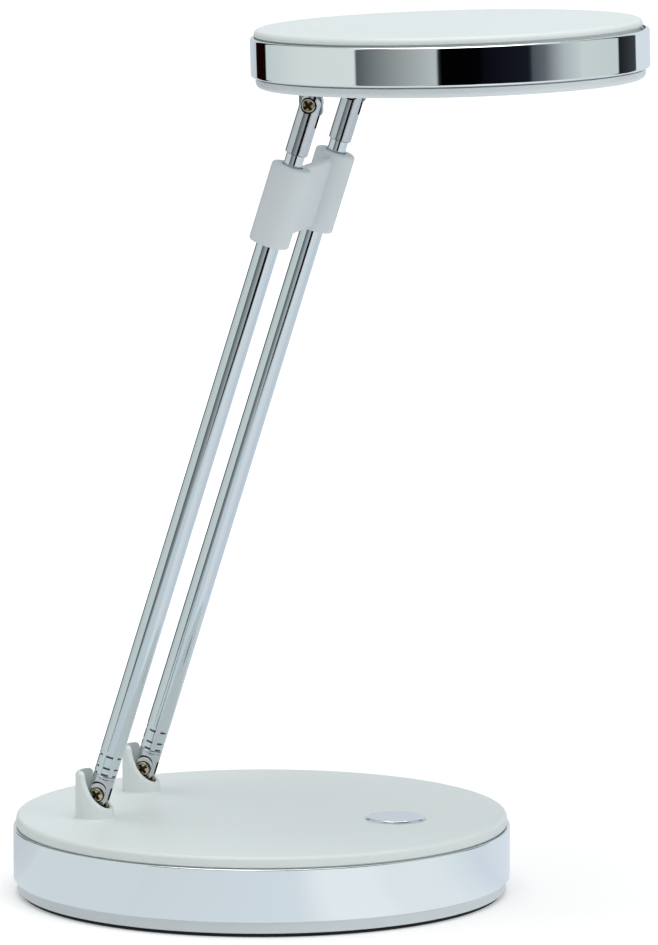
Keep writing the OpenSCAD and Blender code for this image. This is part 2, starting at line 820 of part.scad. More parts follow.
module guide_bushes() {
    color("white") for (side = [front, rear]) on_arm(side, guide_s) difference() {
        cylinder(d = guide_d, h = guide_l - guide_lip);
        translate([0, 0, -cut]) cylinder(d = inner_tube_d + 2 * run_gap, h = guide_l + 2 * cut);
    }
}

module inner_tube(side) {
    color("lightgray") on_arm(side, slider_s) tube(inner_tube_d, inner_tube_t, inner_top_s - slider_s);
}

module inner_tube_front() { inner_tube(front); }
module inner_tube_rear() { inner_tube(rear); }

module slider_bushes() {
    color("white") for (side = [front, rear]) on_arm(side, slider_s) difference() {
        cylinder(d = outer_bore - 2 * run_gap, h = bush_l);
        translate([0, 0, -cut]) cylinder(d = inner_tube_d + 2 * seat_gap, h = bush_l + 2 * cut);
    }
}

// Fork at the top of an arm, bored for the inner tube and counterbored for the pivot screw
module upper_fork(side) {
    r = upper_fork_d / 2;
    color("lightgray") on_arm(side, head_pivot_s) difference() {
        union() {
            translate([0, 0, -upper_fork_l]) cylinder(d = upper_fork_d, h = upper_fork_l);
            intersection() {
                translate([0, 0, -r]) cylinder(d = upper_fork_d, h = 2 * r);
                rotate([90, 0, 0]) cylinder(r = r, h = upper_fork_d, center = true);
            }
        }
        translate([-r - cut, -slot_w / 2, -upper_slot_l])
            cube([upper_fork_d + 2 * cut, slot_w, upper_slot_l + r + cut]);
        translate([0, 0, -upper_fork_l - cut])
            cylinder(d = inner_tube_d + 2 * seat_gap, h = inner_top_s - sleeve_s + seat_gap + cut);
        for (k = [-1, 1]) translate([0, k * (ear_y + r), 0]) rotate([90, 0, 0])
            cylinder(d = pivot_head_d + pocket_clear, h = 2 * r, center = true);
        rotate([90, 0, 0]) cylinder(d = pivot_d + 2 * seat_gap, h = upper_fork_d + cut, center = true);
    }
}

module upper_fork_front() { upper_fork(front); }
module upper_fork_rear() { upper_fork(rear); }

module head_pivot_screws() {
    color("rosybrown") for (side = [front, rear]) on_arm(side, head_pivot_s) pivot_screw();
}

module head_pivot_nuts() {
    color("rosybrown") for (side = [front, rear]) on_arm(side, head_pivot_s) pivot_nut();
}

module head_pivot_washers() {
    color("khaki") for (side = [front, rear]) on_arm(side, head_pivot_s) pivot_washers();
}

// Places children at each screw tower of the head
module at_head_towers() {
    translate([head_reach, 0, 0]) for (a = head_tower_angles) rotate([0, 0, a])
        translate([head_tower_r, 0, 0]) children();
}

// Places children at each post of the heat spreader
module at_spreader_posts() {
    translate([head_reach, 0, 0]) for (a = spreader_post_angles) rotate([0, 0, a])
        translate([spreader_post_r, 0, 0]) children();
}

// Places children at each screw of a head lug
module at_head_lug_screws(side) {
    for (k = [-1, 1]) translate([0, side * arm_y + k * head_lug_screw_y, 0]) children();
}

module head_cover() {
    under_h = head_under - head_cover_z + head_spigot_l;
    color("white") on_head() difference() {
        translate([head_reach, 0, 0]) union() {
            translate([0, 0, head_cover_z]) rotate_extrude($fn = 180)
                disc_profile(head_cover_r, head_cover_h, head_edge_r, 0);
            translate([0, 0, head_cover_z - head_spigot_l])
                cylinder(r = head_shell_r, h = head_spigot_l + lap, $fn = 180);
        }
        difference() {
            translate([head_reach, 0, head_cover_z - head_spigot_l - cut])
                cylinder(r = head_inner_r, h = under_h + cut, $fn = 180);
            at_head_towers() translate([0, 0, head_floor_z + head_tower_h])
                cylinder(d = boss_d, h = head_under);
        }
        at_head_towers() translate([0, 0, head_floor_z + head_tower_h - cut])
            cylinder(d = tap_d, h = head_under - head_floor_z - head_tower_h + cut);
    }
}

module head_ring() {
    color("silver") on_head() translate([head_reach, 0, head_ring_z]) bright_ring(head_r, head_ring_h);
}

module head_housing() {
    wall_top = head_cover_z - head_spigot_l - part_gap;
    color("lightgray") on_head() difference() {
        union() {
            difference() {
                translate([head_reach, 0, 0]) union() {
                    translate([0, 0, head_rise]) rotate_extrude($fn = 180)
                        disc_profile(head_rim_r, head_rim_h, 0, head_rim_edge_r);
                    translate([0, 0, head_ring_z - lap])
                        cylinder(r = head_shell_r, h = wall_top - head_ring_z + lap, $fn = 180);
                }
                translate([head_reach, 0, head_floor_z])
                    cylinder(r = head_inner_r, h = head_ring_h, $fn = 180);
            }
            at_head_towers() translate([0, 0, head_floor_z - lap])
                cylinder(d = tower_d, h = head_tower_h + lap);
            at_spreader_posts() translate([0, 0, head_floor_z - lap])
                cylinder(d = spreader_post_d, h = spreader_z - head_floor_z + lap);
        }
        translate([head_reach, 0, 0]) {
            translate([0, 0, head_rise - cut])
                cylinder(r = window_r, h = head_floor_t + 2 * cut, $fn = 120);
            translate([0, 0, head_floor_z - diffuser_lip_t])
                cylinder(r = window_r + diffuser_lip, h = diffuser_lip_t + cut, $fn = 120);
        }
        for (side = [front, rear]) {
            translate([0, side * arm_y, head_rise + head_floor_t / 2])
                cube([head_lug_w + screw_clear, lug_t + screw_clear, head_floor_t + 2 * cut], center = true);
            at_head_lug_screws(side) translate([0, 0, head_floor_z - head_lug_screw_l])
                cylinder(d = tap_d, h = head_lug_screw_l + cut);
        }
        at_head_towers() {
            translate([0, 0, head_rise - cut])
                cylinder(d = screw_d + screw_clear, h = head_floor_t + head_tower_h + 2 * cut);
            translate([0, 0, head_rise - cut])
                cylinder(d = screw_head_d + head_clear, h = screw_head_h + lap + cut);
        }
        at_spreader_posts() translate([0, 0, head_floor_z]) cylinder(d = tap_d, h = spreader_z);
    }
}

// Room for the head lugs and their screws, which a wide window or a short reach runs into
module head_lug_room() {
    room_w = head_lug_w + 2 * head_lug_gap;
    room_l = head_lug_flange_l + 2 * head_lug_gap;
    for (side = [front, rear]) {
        translate([-room_w / 2, side * arm_y - room_l / 2, head_floor_z])
            cube([room_w, room_l, head_lug_flange_t + screw_head_h + head_lug_gap]);
        translate([0, side * arm_y, head_floor_z])
            cube([room_w, lug_t + 2 * head_lug_gap, 2 * (head_floor_t + cut)], center = true);
        at_head_lug_screws(side) translate([0, 0, head_rise - cut])
            cylinder(d = tap_d + 2 * head_lug_gap, h = head_floor_t + cut + lap);
    }
}

module diffuser() {
    window_h = head_floor_t - diffuser_lip_t;
    color("ivory") on_head() difference() {
        translate([head_reach, 0, 0]) union() {
            translate([0, 0, head_rise + part_gap])
                cylinder(r = window_r - part_gap, h = window_h - part_gap + lap, $fn = 120);
            translate([0, 0, head_floor_z - diffuser_lip_t])
                cylinder(r = window_r + diffuser_lip - part_gap, h = diffuser_lip_t, $fn = 120);
        }
        head_lug_room();
    }
}

module reflector() {
    low = window_r;
    high = led_board_d / 2 - reflector_in;
    h = led_board_z - head_floor_z;
    color("white") on_head() difference() {
        translate([head_reach, 0, head_floor_z]) rotate_extrude($fn = 120)
            polygon([[low, 0], [low + reflector_t, 0], [high + reflector_t, h], [high, h]]);
        head_lug_room();
    }
}

module led_board() {
    color("whitesmoke") on_head() translate([head_reach, 0, led_board_z])
        cylinder(d = led_board_d, h = led_board_t, $fn = 120);
}

module led_chips() {
    color("gold") on_head() translate([head_reach, 0, led_board_z - led_h])
        for (ring = [1 : led_ring_count], i = [0 : led_step * ring - 1])
            rotate([0, 0, 360 / (led_step * ring) * i])
                translate([led_outer_r - led_pitch * (led_ring_count - ring), 0, led_h / 2])
                    cube([led_size, led_size, led_h], center = true);
}

module heat_spreader() {
    color("lightgray") on_head() difference() {
        translate([head_reach, 0, spreader_z]) cylinder(d = spreader_d, h = spreader_t, $fn = 120);
        at_spreader_posts() translate([0, 0, spreader_z - cut])
            cylinder(d = screw_d + screw_clear, h = spreader_t + 2 * cut);
        for (side = [front, rear]) translate([0, side * arm_y, spreader_z + spreader_t / 2])
            cube([spreader_notch, spreader_notch, spreader_t + 2 * cut], center = true);
    }
}

// Lug that hangs from the head housing, with its flange inside
module head_lug(side) {
    corner_r = head_lug_corner_r;
    low = -head_lug_w / 2;
    color("silver") on_head() difference() {
        union() {
            translate([low, side * arm_y - head_lug_flange_l / 2, head_floor_z])
                cube([head_lug_w, head_lug_flange_l, head_lug_flange_t]);
            translate([low, side * arm_y - lug_t / 2, low + corner_r])
                cube([head_lug_w, lug_t, head_floor_z - low - corner_r + head_lug_flange_t / 2]);
            translate([low + corner_r, side * arm_y - lug_t / 2, low])
                cube([head_lug_w - 2 * corner_r, lug_t, head_lug_w]);
            for (k = [-1, 1]) translate([k * (head_lug_w / 2 - corner_r), side * arm_y, low + corner_r])
                rotate([90, 0, 0]) cylinder(r = corner_r, h = lug_t, center = true, $fn = 32);
        }
        translate([0, side * arm_y, 0]) rotate([90, 0, 0])
            cylinder(d = pivot_d + 2 * run_gap, h = lug_t + 2 * cut, center = true);
        at_head_lug_screws(side) translate([0, 0, head_floor_z - cut])
            cylinder(d = screw_d + screw_clear, h = head_lug_flange_t + 2 * cut);
    }
}

module head_lug_front() { head_lug(front); }
module head_lug_rear() { head_lug(rear); }

module head_lug_screws() {
    grip = head_lug_flange_t + head_lug_screw_l - lap;
    color("silver") on_head() for (side = [front, rear]) at_head_lug_screws(side)
        translate([0, 0, head_floor_z + head_lug_flange_t + screw_head_h])
            screw(tap_d - 2 * seat_gap, grip, screw_head_d, screw_head_h);
}

module spreader_screws() {
    color("silver") on_head() at_spreader_posts()
        translate([0, 0, spreader_z + spreader_t + screw_head_h])
            screw(tap_d - 2 * seat_gap, spreader_t + bite, screw_head_d, screw_head_h);
}

module head_housing_screws() {
    grip = head_floor_z + head_tower_h + bite - head_rise;
    color("silver") on_head() at_head_towers() translate([0, 0, head_rise + lap]) rotate([180, 0, 0])
        screw(tap_d - 2 * seat_gap, grip, screw_head_d, screw_head_h);
}

module head_lead_wires() {
    lead_z = spreader_z + spreader_t + head_lead_rise;
    pad_x = head_reach - head_pad_back;
    lug_lead_y = arm_y - head_lead_in;
    color("firebrick") on_head() for (side = [front, rear])
        wire([[0, side * lug_lead_y, head_floor_z + head_lug_flange_t], [0, side * lug_lead_y, lead_z],
              [pad_x, side * board_lead_y, lead_z], [pad_x, side * board_lead_y, spreader_z + spreader_t]]);
}

base_cover();
base_ring();
base_housing();
foot_pad();
ballast_weight();
control_board();
board_components();
tact_switch();
dc_inlet();
base_lug_front();
base_lug_rear();
base_lug_screws();
base_housing_screws();
ballast_screws();
board_screws();
base_lead_wires();
button_spring();
power_button();
lower_fork_front();
lower_fork_rear();
outer_tube_front();
outer_tube_rear();
base_pivot_screws();
base_pivot_nuts();
base_pivot_washers();
cross_block();
guide_bushes();
inner_tube_front();
inner_tube_rear();
slider_bushes();
upper_fork_front();
upper_fork_rear();
head_pivot_screws();
head_pivot_nuts();
head_pivot_washers();
head_cover();
head_ring();
head_housing();
diffuser();
reflector();
led_board();
led_chips();
heat_spreader();
head_lug_front();
head_lug_rear();
head_lug_screws();
spreader_screws();
head_housing_screws();
head_lead_wires();
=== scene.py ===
"""Looks of a desk lamp with a round base, two telescopic arms and a flat round light head.

Each piece is modelled in millimetres about its own axis, then set in the frame, which is in metres.
"""

import json
import logging
import math
from dataclasses import dataclass, field
from enum import Enum
from typing import Callable

import bmesh
import bpy
from mathutils import Matrix, Vector


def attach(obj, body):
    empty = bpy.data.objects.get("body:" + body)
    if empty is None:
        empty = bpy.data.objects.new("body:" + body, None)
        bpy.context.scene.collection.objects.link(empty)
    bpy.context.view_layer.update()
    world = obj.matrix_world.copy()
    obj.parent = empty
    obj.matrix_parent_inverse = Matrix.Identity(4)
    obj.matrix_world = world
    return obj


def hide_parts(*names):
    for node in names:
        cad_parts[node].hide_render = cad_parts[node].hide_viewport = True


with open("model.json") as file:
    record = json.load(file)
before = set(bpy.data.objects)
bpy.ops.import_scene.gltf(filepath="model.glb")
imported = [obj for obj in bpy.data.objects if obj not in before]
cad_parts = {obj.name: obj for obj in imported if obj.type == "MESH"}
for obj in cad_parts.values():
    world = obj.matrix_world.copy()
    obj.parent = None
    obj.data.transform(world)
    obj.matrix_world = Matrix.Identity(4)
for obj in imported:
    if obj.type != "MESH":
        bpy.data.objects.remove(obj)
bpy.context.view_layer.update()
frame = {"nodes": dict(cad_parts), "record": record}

LOG = logging.getLogger("lamp")
MM = 0.001
MERGE = 0.0005    # points closer than this are one, in millimetres
ARM_Y = 23.5      # each arm stands this far to its side of the middle, in millimetres
NEAR = 0.02       # a face within this of a surface lies on it, in millimetres
ROUNDED = 0.1     # the same, where a small rounding lies between
LARGE = 256       # faces round a piece of the base or the head
MEDIUM = 128      # faces round the button or a barrel of the block
SLIM = 96         # faces round a fork or a tube
SMALL = 64        # faces round a hole for a screw's head or for a tube
TINY = 48         # faces round a screw or its hole in the head
FINE = 10         # straight stretches across a rounding that shows well
MODEST = 6        # straight stretches across a smaller one
ROUGH = 4         # straight stretches across one that hardly shows
RECORD = frame["record"]
BODY_OF = {name: body for body, names in RECORD["behaviour"]["bodies"].items() for name in names}
JOINTS = {joint["name"]: joint for joint in RECORD["behaviour"]["joints"]}


# Finishes


def linear(colour: str) -> tuple[float, float, float, float]:
    """Turns an sRGB hex colour into linear light.

    Args:
        colour: six hex digits, red first.

    Returns:
        Red, green, blue and an alpha of 1.
    """
    parts = [int(colour[i:i + 2], 16) / 255 for i in (0, 2, 4)]
    return (*(p / 12.92 if p <= 0.04045 else ((p + 0.055) / 1.055) ** 2.4 for p in parts), 1.0)


def add_node(tree: bpy.types.NodeTree, kind: str, inputs: dict[str | int, object] | None = None,
             **settings: object) -> bpy.types.Node:
    """Adds one shader node with its settings and its input values or links.

    Args:
        tree: node tree that takes the node.
        kind: Blender's name of the node type.
        inputs: value or output socket for each input, by the input's name or number.
        **settings: properties of the node.

    Returns:
        The new node.
    """
    made = tree.nodes.new(kind)
    for name, value in settings.items():
        setattr(made, name, value)
    for name, value in (inputs or {}).items():
        if isinstance(value, bpy.types.NodeSocket):
            tree.links.new(value, made.inputs[name])
        else:
            made.inputs[name].default_value = value
    return made


def bare_tree(owner: bpy.types.Material | bpy.types.World) -> bpy.types.NodeTree:
    """Turns on the nodes of a material or a world, and clears them away.

    Args:
        owner: the material or the world.

    Returns:
        Its empty node tree.
    """
    owner.use_nodes = True
    owner.node_tree.nodes.clear()
    return owner.node_tree


def blend(tree: bpy.types.NodeTree, share: bpy.types.NodeSocket, first: object,
          second: object) -> bpy.types.NodeSocket:
    """Blends two colours.

    Args:
        tree: node tree that takes the node.
        share: how much there is of the second colour.
        first: the first colour, as linear light or as an output socket.
        second: the second colour, likewise.

    Returns:
        The blended colour.
    """
    # A Mix node numbers its inputs over all its data types: 6 and 7 are the colours
    return add_node(tree, "ShaderNodeMix", {0: share, 6: first, 7: second},
                    data_type="RGBA").outputs[2]


def noise(tree: bpy.types.NodeTree, place: bpy.types.NodeSocket, size_mm: float,
          detail: float) -> bpy.types.NodeSocket:
    """Lays a cloudy pattern.

    Args:
        tree: node tree that takes the node.
        place: where it is read.
        size_mm: size of its clouds, in millimetres.
        detail: number of its finer layers.

    Returns:
        Its height, from 0 to 1.
    """
    return add_node(tree, "ShaderNodeTexNoise", {
        "Vector": place, "Scale": 1 / (size_mm * MM), "Detail": detail}).outputs["Fac"]


@dataclass(frozen=True)
class Finish:
    """A real material and the way its surface was made.

    Sizes are in millimetres. The colour drifts towards the tint over patches of mottle_mm, and the
    surface has a grain of grain_mm that is grain_deep_mm high. Each has as many finer layers as its
    detail says. The pattern is turned about Y by turn_deg and drawn out along its own axes by
    stretch.
    """

    name: str
    colour: str
    tint: str
    roughness: float
    rough_spread: float = 0.04
    metallic: float = 0.0
    ior: float | None = None
    coat: float = 0.0
    mottle_mm: float = 30.0
    mottle_detail: float = 3.0
    grain_mm: float = 0.5
    grain_detail: float = 2.0
    grain_deep_mm: float = 0.01
    turn_deg: float = 0.0
    stretch: tuple[float, float, float] = (1.0, 1.0, 1.0)

    def material(self) -> bpy.types.Material:
        """Makes the material, or finds it where it is made already.

        Returns:
            The material, named for this finish.
        """
        known = bpy.data.materials.get(self.name)
        if known:
            return known
        made = bpy.data.materials.new(self.name)
        tree = bare_tree(made)
        place = add_node(tree, "ShaderNodeTexCoord").outputs["Object"]
        turned_place = add_node(tree, "ShaderNodeVectorRotate", {
            "Vector": place, "Angle": math.radians(self.turn_deg)},
            rotation_type="Y_AXIS").outputs[0]
        drawn = add_node(tree, "ShaderNodeVectorMath", {0: turned_place, 1: self.stretch},
                         operation="MULTIPLY").outputs[0]
        patches = noise(tree, drawn, self.mottle_mm, self.mottle_detail)
        grain = noise(tree, drawn, self.grain_mm, self.grain_detail)
        colour = blend(tree, patches, linear(self.colour), linear(self.tint))
        rough = add_node(tree, "ShaderNodeMapRange", {
            "Value": grain, "To Min": max(self.roughness - self.rough_spread, 0.0),
            "To Max": self.roughness + self.rough_spread}).outputs[0]
        bump = add_node(tree, "ShaderNodeBump", {
            "Height": grain, "Distance": self.grain_deep_mm * MM}).outputs[0]
        shader = add_node(tree, "ShaderNodeBsdfPrincipled", {
            "Base Color": colour, "Roughness": rough, "Normal": bump, "Metallic": self.metallic,
            "Coat Weight": self.coat})
        if self.ior:
            shader.inputs["IOR"].default_value = self.ior
        add_node(tree, "ShaderNodeOutputMaterial", {"Surface": shader.outputs[0]})
        return made


@dataclass(frozen=True)
class BoardFinish(Finish):
    """A lacquered circuit board, whose copper tracks show as paler lines under the lacquer.

    The net of tracks repeats every track_step times track_mm, and a track takes track_share of it.
    """

    track_mm: float = 1.6
    track_step: float = 4.0
    track_share: float = 0.02
    track_colour: str = "3F9465"

    def material(self) -> bpy.types.Material:
        """Makes the lacquer, then lays a net of tracks under its colour.

        Returns:
            The material, named for this finish.
        """
        if bpy.data.materials.get(self.name):
            return bpy.data.materials[self.name]
        made = super().material()
        tree = made.node_tree
        shader = next(n for n in tree.nodes if n.type == "BSDF_PRINCIPLED")
        lacquer = shader.inputs["Base Color"].links[0].from_socket
        place = add_node(tree, "ShaderNodeTexCoord").outputs["Object"]
        tracks = add_node(tree, "ShaderNodeTexBrick", {
            "Vector": place, "Scale": 1 / (self.track_mm * self.track_step * MM),
            "Mortar Size": self.track_share}).outputs["Fac"]
        colour = blend(tree, tracks, lacquer, linear(self.track_colour))
        tree.links.new(colour, shader.inputs["Base Color"])
        return made


# ABS, injection moulded in a finely eroded tool: soft even sheen, no sharp reflection
COVER_ABS = Finish("abs_moulded_satin_white", "E9F1F0", "E4EDEC", 0.42, 0.05, ior=1.53,
                   mottle_mm=45.0, grain_mm=0.35, grain_deep_mm=0.004)
# ABS from a smoother tool for the housings and their rims, the cover's white ABS; its greyer tone
# is painted shade for sides that sit in shade under the rings
HOUSING_ABS_SHADED = Finish("abs_moulded_smooth_grey_white", "E3EBEE", "DDE6EA", 0.33, 0.05, ior=1.53,
                     mottle_mm=40.0, grain_mm=0.35, grain_deep_mm=0.003)
# ABS of the cross block, satin, with the faint flow marks of a thick moulding
BLOCK_ABS = Finish("abs_moulded_satin_block", "DCE3E7", "D5DEE2", 0.45, 0.05, ior=1.53,
                   mottle_mm=18.0, grain_mm=0.4, grain_deep_mm=0.005)
# ABS rings, electroplated in bright chrome: a mirror with the faint waviness of plated plastic
RING_CHROME = Finish("chrome_plated_abs_bright", "F1F4F6", "EBF0F3", 0.035, 0.012, metallic=1.0,
                     mottle_mm=60.0, grain_mm=14.0, grain_deep_mm=0.012)
# Steel tube, drawn, polished and chromed: bright, with fine draw lines along its length
TUBE_CHROME = Finish("chrome_plated_drawn_tube", "DDE4E8", "D1DADF", 0.07, 0.02, metallic=1.0,
                     mottle_mm=9.0, grain_mm=0.5, grain_deep_mm=0.0012, turn_deg=-17.6,
                     stretch=(1.0, 1.0, 0.03))
# Turned and milled forks, nickel plated: a little softer than the tubes, with fine tool marks
FORK_NICKEL = Finish("nickel_plated_turned_fork", "D3D6DB", "C3C7CD", 0.12, 0.03, metallic=1.0,
                     mottle_mm=5.0, grain_mm=0.3, grain_deep_mm=0.002, turn_deg=-17.6,
                     stretch=(1.0, 1.0, 3.0))
# Push button, metallised plastic, spun: fine rings are too small to show, so a soft blur stands in
BUTTON_CHROME = Finish("metallised_button_cap", "E7EBF0", "DFE4EA", 0.10, 0.03, metallic=1.0,
                       mottle_mm=12.0, grain_mm=1.2, grain_deep_mm=0.002)
# Screw heads, steel with yellowish passivated zinc: warm white metal
SCREW_NICKEL = Finish("zinc_passivated_screw_head", "D8CFB8", "C2B594", 0.22, 0.06, metallic=1.0,
                      mottle_mm=2.0, grain_mm=0.25, grain_deep_mm=0.004)
# Cold-headed cross recess, where the passivation pools brown
SCREW_RECESS = Finish("passivated_screw_recess", "5A4524", "332714", 0.38, 0.08, metallic=1.0,
                      mottle_mm=1.0, grain_mm=0.2, grain_deep_mm=0.006)
# Painted shade: a nearly black, dull finish on slots, pockets and seats and on the edge of each
# milled hollow, where shade and dark reflections fall
PAINTED_SHADE = Finish("groove_with_old_grease", "17150F", "0D0C0A", 0.6, 0.1, ior=1.45,
                     mottle_mm=1.5, grain_mm=0.25, grain_deep_mm=0.006)
# Painted shade on the floors of the crimps and on the tube's cut end: dull grey chrome that stands
# for the shade in the dents
CRIMP_PAINTED_SHADE = Finish("chrome_cracked_in_crimp", "6E7276", "4C4F53", 0.42, 0.08, metallic=1.0,
                    mottle_mm=1.2, grain_mm=0.25, grain_deep_mm=0.004)
# Painted highlight on the hollow ends of the milled flats, cut with a round-nosed mill: near-white
# nickel that stands for the bright band they reflect
PAINTED_HIGHLIGHT_NICKEL = Finish("nickel_plated_milled_hollow", "FAFAFA", "F3F4F5", 0.48, 0.05, metallic=1.0,
                       mottle_mm=3.0, grain_mm=0.3, grain_deep_mm=0.001)
# Plain zinc-plated steel of the hidden screws and nuts
ZINC = Finish("zinc_plated_steel", "B9BCC0", "A4A8AC", 0.3, 0.08, metallic=1.0,
              mottle_mm=3.0, grain_mm=0.3, grain_deep_mm=0.004)
# Stamped brass strip, rolled, tarnished to a dull olive and darkened further as painted shade,
# since the lugs sit in shadow in the cups
BRASS_SHADED = Finish("stamped_brass_strip", "A8904F", "836F3B", 0.28, 0.08, metallic=1.0,
               mottle_mm=4.0, grain_mm=0.4, grain_deep_mm=0.004, stretch=(1.0, 1.0, 0.2))
# Nickel-plated stamped steel of the head's lugs
LUG_STEEL = Finish("nickel_plated_stamped_lug", "C9CDD0", "B4B9BE", 0.16, 0.04, metallic=1.0,
                   mottle_mm=6.0, grain_mm=0.4, grain_deep_mm=0.003)
# Spring bronze washers, punched
BRONZE = Finish("punched_spring_bronze", "B9895A", "99693E", 0.32, 0.08, metallic=1.0,
                mottle_mm=2.0, grain_mm=0.3, grain_deep_mm=0.004)
# Natural acetal, turned: waxy, slightly yellow white
ACETAL = Finish("acetal_turned_natural", "EFEDE4", "E6E2D4", 0.36, 0.05, ior=1.48,
                mottle_mm=5.0, grain_mm=0.4, grain_deep_mm=0.004)
# Foam rubber sheet, die cut: black, dull, with open cells
FOAM = Finish("foam_rubber_black", "1B1B1C", "242425", 0.85, 0.08, ior=1.45,
              mottle_mm=8.0, grain_mm=0.9, grain_deep_mm=0.15)
# Grey cast iron, as cast, for the ballast
IRON = Finish("cast_iron_as_cast", "4B4C4F", "393A3D", 0.62, 0.12, metallic=1.0,
              mottle_mm=12.0, grain_mm=1.1, grain_deep_mm=0.12)
# Black glass-filled PBT of the inlet and of the parts on the board
BLACK_PBT = Finish("pbt_moulded_black", "202226", "2A2C31", 0.4, 0.08, ior=1.55,
                   mottle_mm=5.0, grain_mm=0.4, grain_deep_mm=0.006)
# Glass-epoxy laminate with green lacquer
BOARD_GREEN = BoardFinish("glass_epoxy_board_green", "1F6B42", "195C38", 0.35, 0.05, ior=1.5,
                          mottle_mm=7.0, grain_mm=0.5, grain_deep_mm=0.004)
# Glass-epoxy laminate with white lacquer, which carries the light chips
BOARD_WHITE = BoardFinish("glass_epoxy_board_white", "E9E9E4", "E0E0DA", 0.4, 0.05, ior=1.5,
                          mottle_mm=7.0, grain_mm=0.5, grain_deep_mm=0.004, track_colour="F2F2EE")
# Opal PMMA of the light window: milky, glossy skin over a cloudy body
OPAL = Finish("pmma_moulded_opal", "F1F2EC", "EAECE6", 0.28, 0.05, ior=1.49, coat=0.3,
              mottle_mm=14.0, grain_mm=0.8, grain_deep_mm=0.006)
# White polycarbonate film of the reflector
REFLECTOR_FILM = Finish("polycarbonate_film_white", "F0F0EE", "E8E8E6", 0.5, 0.05, ior=1.58,
                        mottle_mm=10.0, grain_mm=0.5, grain_deep_mm=0.004)
# Silicone with phosphor over each light chip
PHOSPHOR = Finish("phosphor_silicone", "E6C750", "D9B53A", 0.45, 0.06, ior=1.41,
                  mottle_mm=1.0, grain_mm=0.2, grain_deep_mm=0.01)
# Aluminium sheet, rolled: faint parallel roll lines
ALUMINIUM = Finish("aluminium_sheet_rolled", "C9CBCD", "B9BCBF", 0.36, 0.08, metallic=1.0,
                   mottle_mm=12.0, grain_mm=0.5, grain_deep_mm=0.004, stretch=(0.1, 1.0, 1.0))
# Spring wire, drawn steel
SPRING_STEEL = Finish("spring_steel_wire", "A9ADB2", "8F9499", 0.25, 0.06, metallic=1.0,
                      mottle_mm=2.0, grain_mm=0.2, grain_deep_mm=0.003)
# PVC insulation of the lead wires, extruded
WIRE_PVC = Finish("pvc_insulation_red", "A8231D", "8F1D19", 0.4, 0.06, ior=1.54,
                  mottle_mm=6.0, grain_mm=0.4, grain_deep_mm=0.006)

CAD_FINISHES: dict[str, Finish] = {
    "ballast_weight": IRON, "control_board": BOARD_GREEN, "board_components": BLACK_PBT,
    # the base lugs' brass is darkened as painted shade
    "tact_switch": BLACK_PBT, "dc_inlet": BLACK_PBT, "base_lug_front": BRASS_SHADED,
    "base_lug_rear": BRASS_SHADED, "base_lug_screws": ZINC, "base_housing_screws": ZINC,
    "ballast_screws": ZINC, "board_screws": ZINC, "base_lead_wires": WIRE_PVC,
    "button_spring": SPRING_STEEL,
    "base_pivot_nuts": SCREW_NICKEL, "base_pivot_washers": BRONZE, "guide_bushes": ACETAL,
    "slider_bushes": ACETAL, "head_pivot_nuts": SCREW_NICKEL, "head_pivot_washers": BRONZE,
    "reflector": REFLECTOR_FILM, "led_board": BOARD_WHITE, "led_chips": PHOSPHOR,
    "heat_spreader": ALUMINIUM, "head_lug_front": LUG_STEEL, "head_lug_rear": LUG_STEEL,
    "head_lug_screws": ZINC, "spreader_screws": ZINC, "head_housing_screws": ZINC,
    "head_lead_wires": WIRE_PVC,
}


# Tools of the bench


class Side(Enum):
    """Side of the lamp, as the sign of Y there."""

    FRONT = -1.0
    REAR = 1.0

    @property
    def word(self) -> str:
        """Gives the side as the names of the nodes spell it."""
        return self.name.lower()


class Axis(Enum):
    """Way that a rod lies, as the turn that brings it there from Z."""

    X = (0.0, math.pi / 2, 0.0)
    Y = (math.pi / 2, 0.0, 0.0)
    Z = (0.0, 0.0, 0.0)


def clear_selection() -> None:
    """Leaves edit mode and deselects everything, the frame's nodes among them."""
    if bpy.context.mode != "OBJECT":
        bpy.ops.object.mode_set(mode="OBJECT")
    bpy.ops.object.select_all(action="DESELECT")


def take(piece: bpy.types.Object) -> None:
    """Makes one piece the only selected and the active one.

    Args:
        piece: the piece.
    """
    clear_selection()
    piece.select_set(True)
    bpy.context.view_layer.objects.active = piece


def pick_faces(piece: bpy.types.Object, test: Callable[[bmesh.types.BMFace], bool]) -> None:
    """Selects, in edit mode, the faces that pass a test and no others.

    Args:
        piece: the piece, in edit mode.
        test: says of a face whether it is wanted, by its place or normal.
    """
    bpy.ops.mesh.select_mode(type="FACE")
    bpy.ops.mesh.select_all(action="DESELECT")
    mesh = bmesh.from_edit_mesh(piece.data)
    for face in mesh.faces:
        face.select_set(test(face))
    bmesh.update_edit_mesh(piece.data)


def arc(centre: tuple[float, float], radius: float, start: float, end: float,
        steps: int = 8) -> list[tuple[float, float]]:
    """Points of an arc in an outline.

    Args:
        centre: radius and height of the arc's centre.
        radius: radius of the arc.
        start: first angle in degrees, 0 outwards and 90 up.
        end: last angle in degrees.
        steps: straight stretches that make the arc.

    Returns:
        The points, as radius and height, both ends among them.
    """
    angles = (math.radians(start + (end - start) * i / steps) for i in range(steps + 1))
    return [(centre[0] + radius * math.cos(a), centre[1] + radius * math.sin(a)) for a in angles]


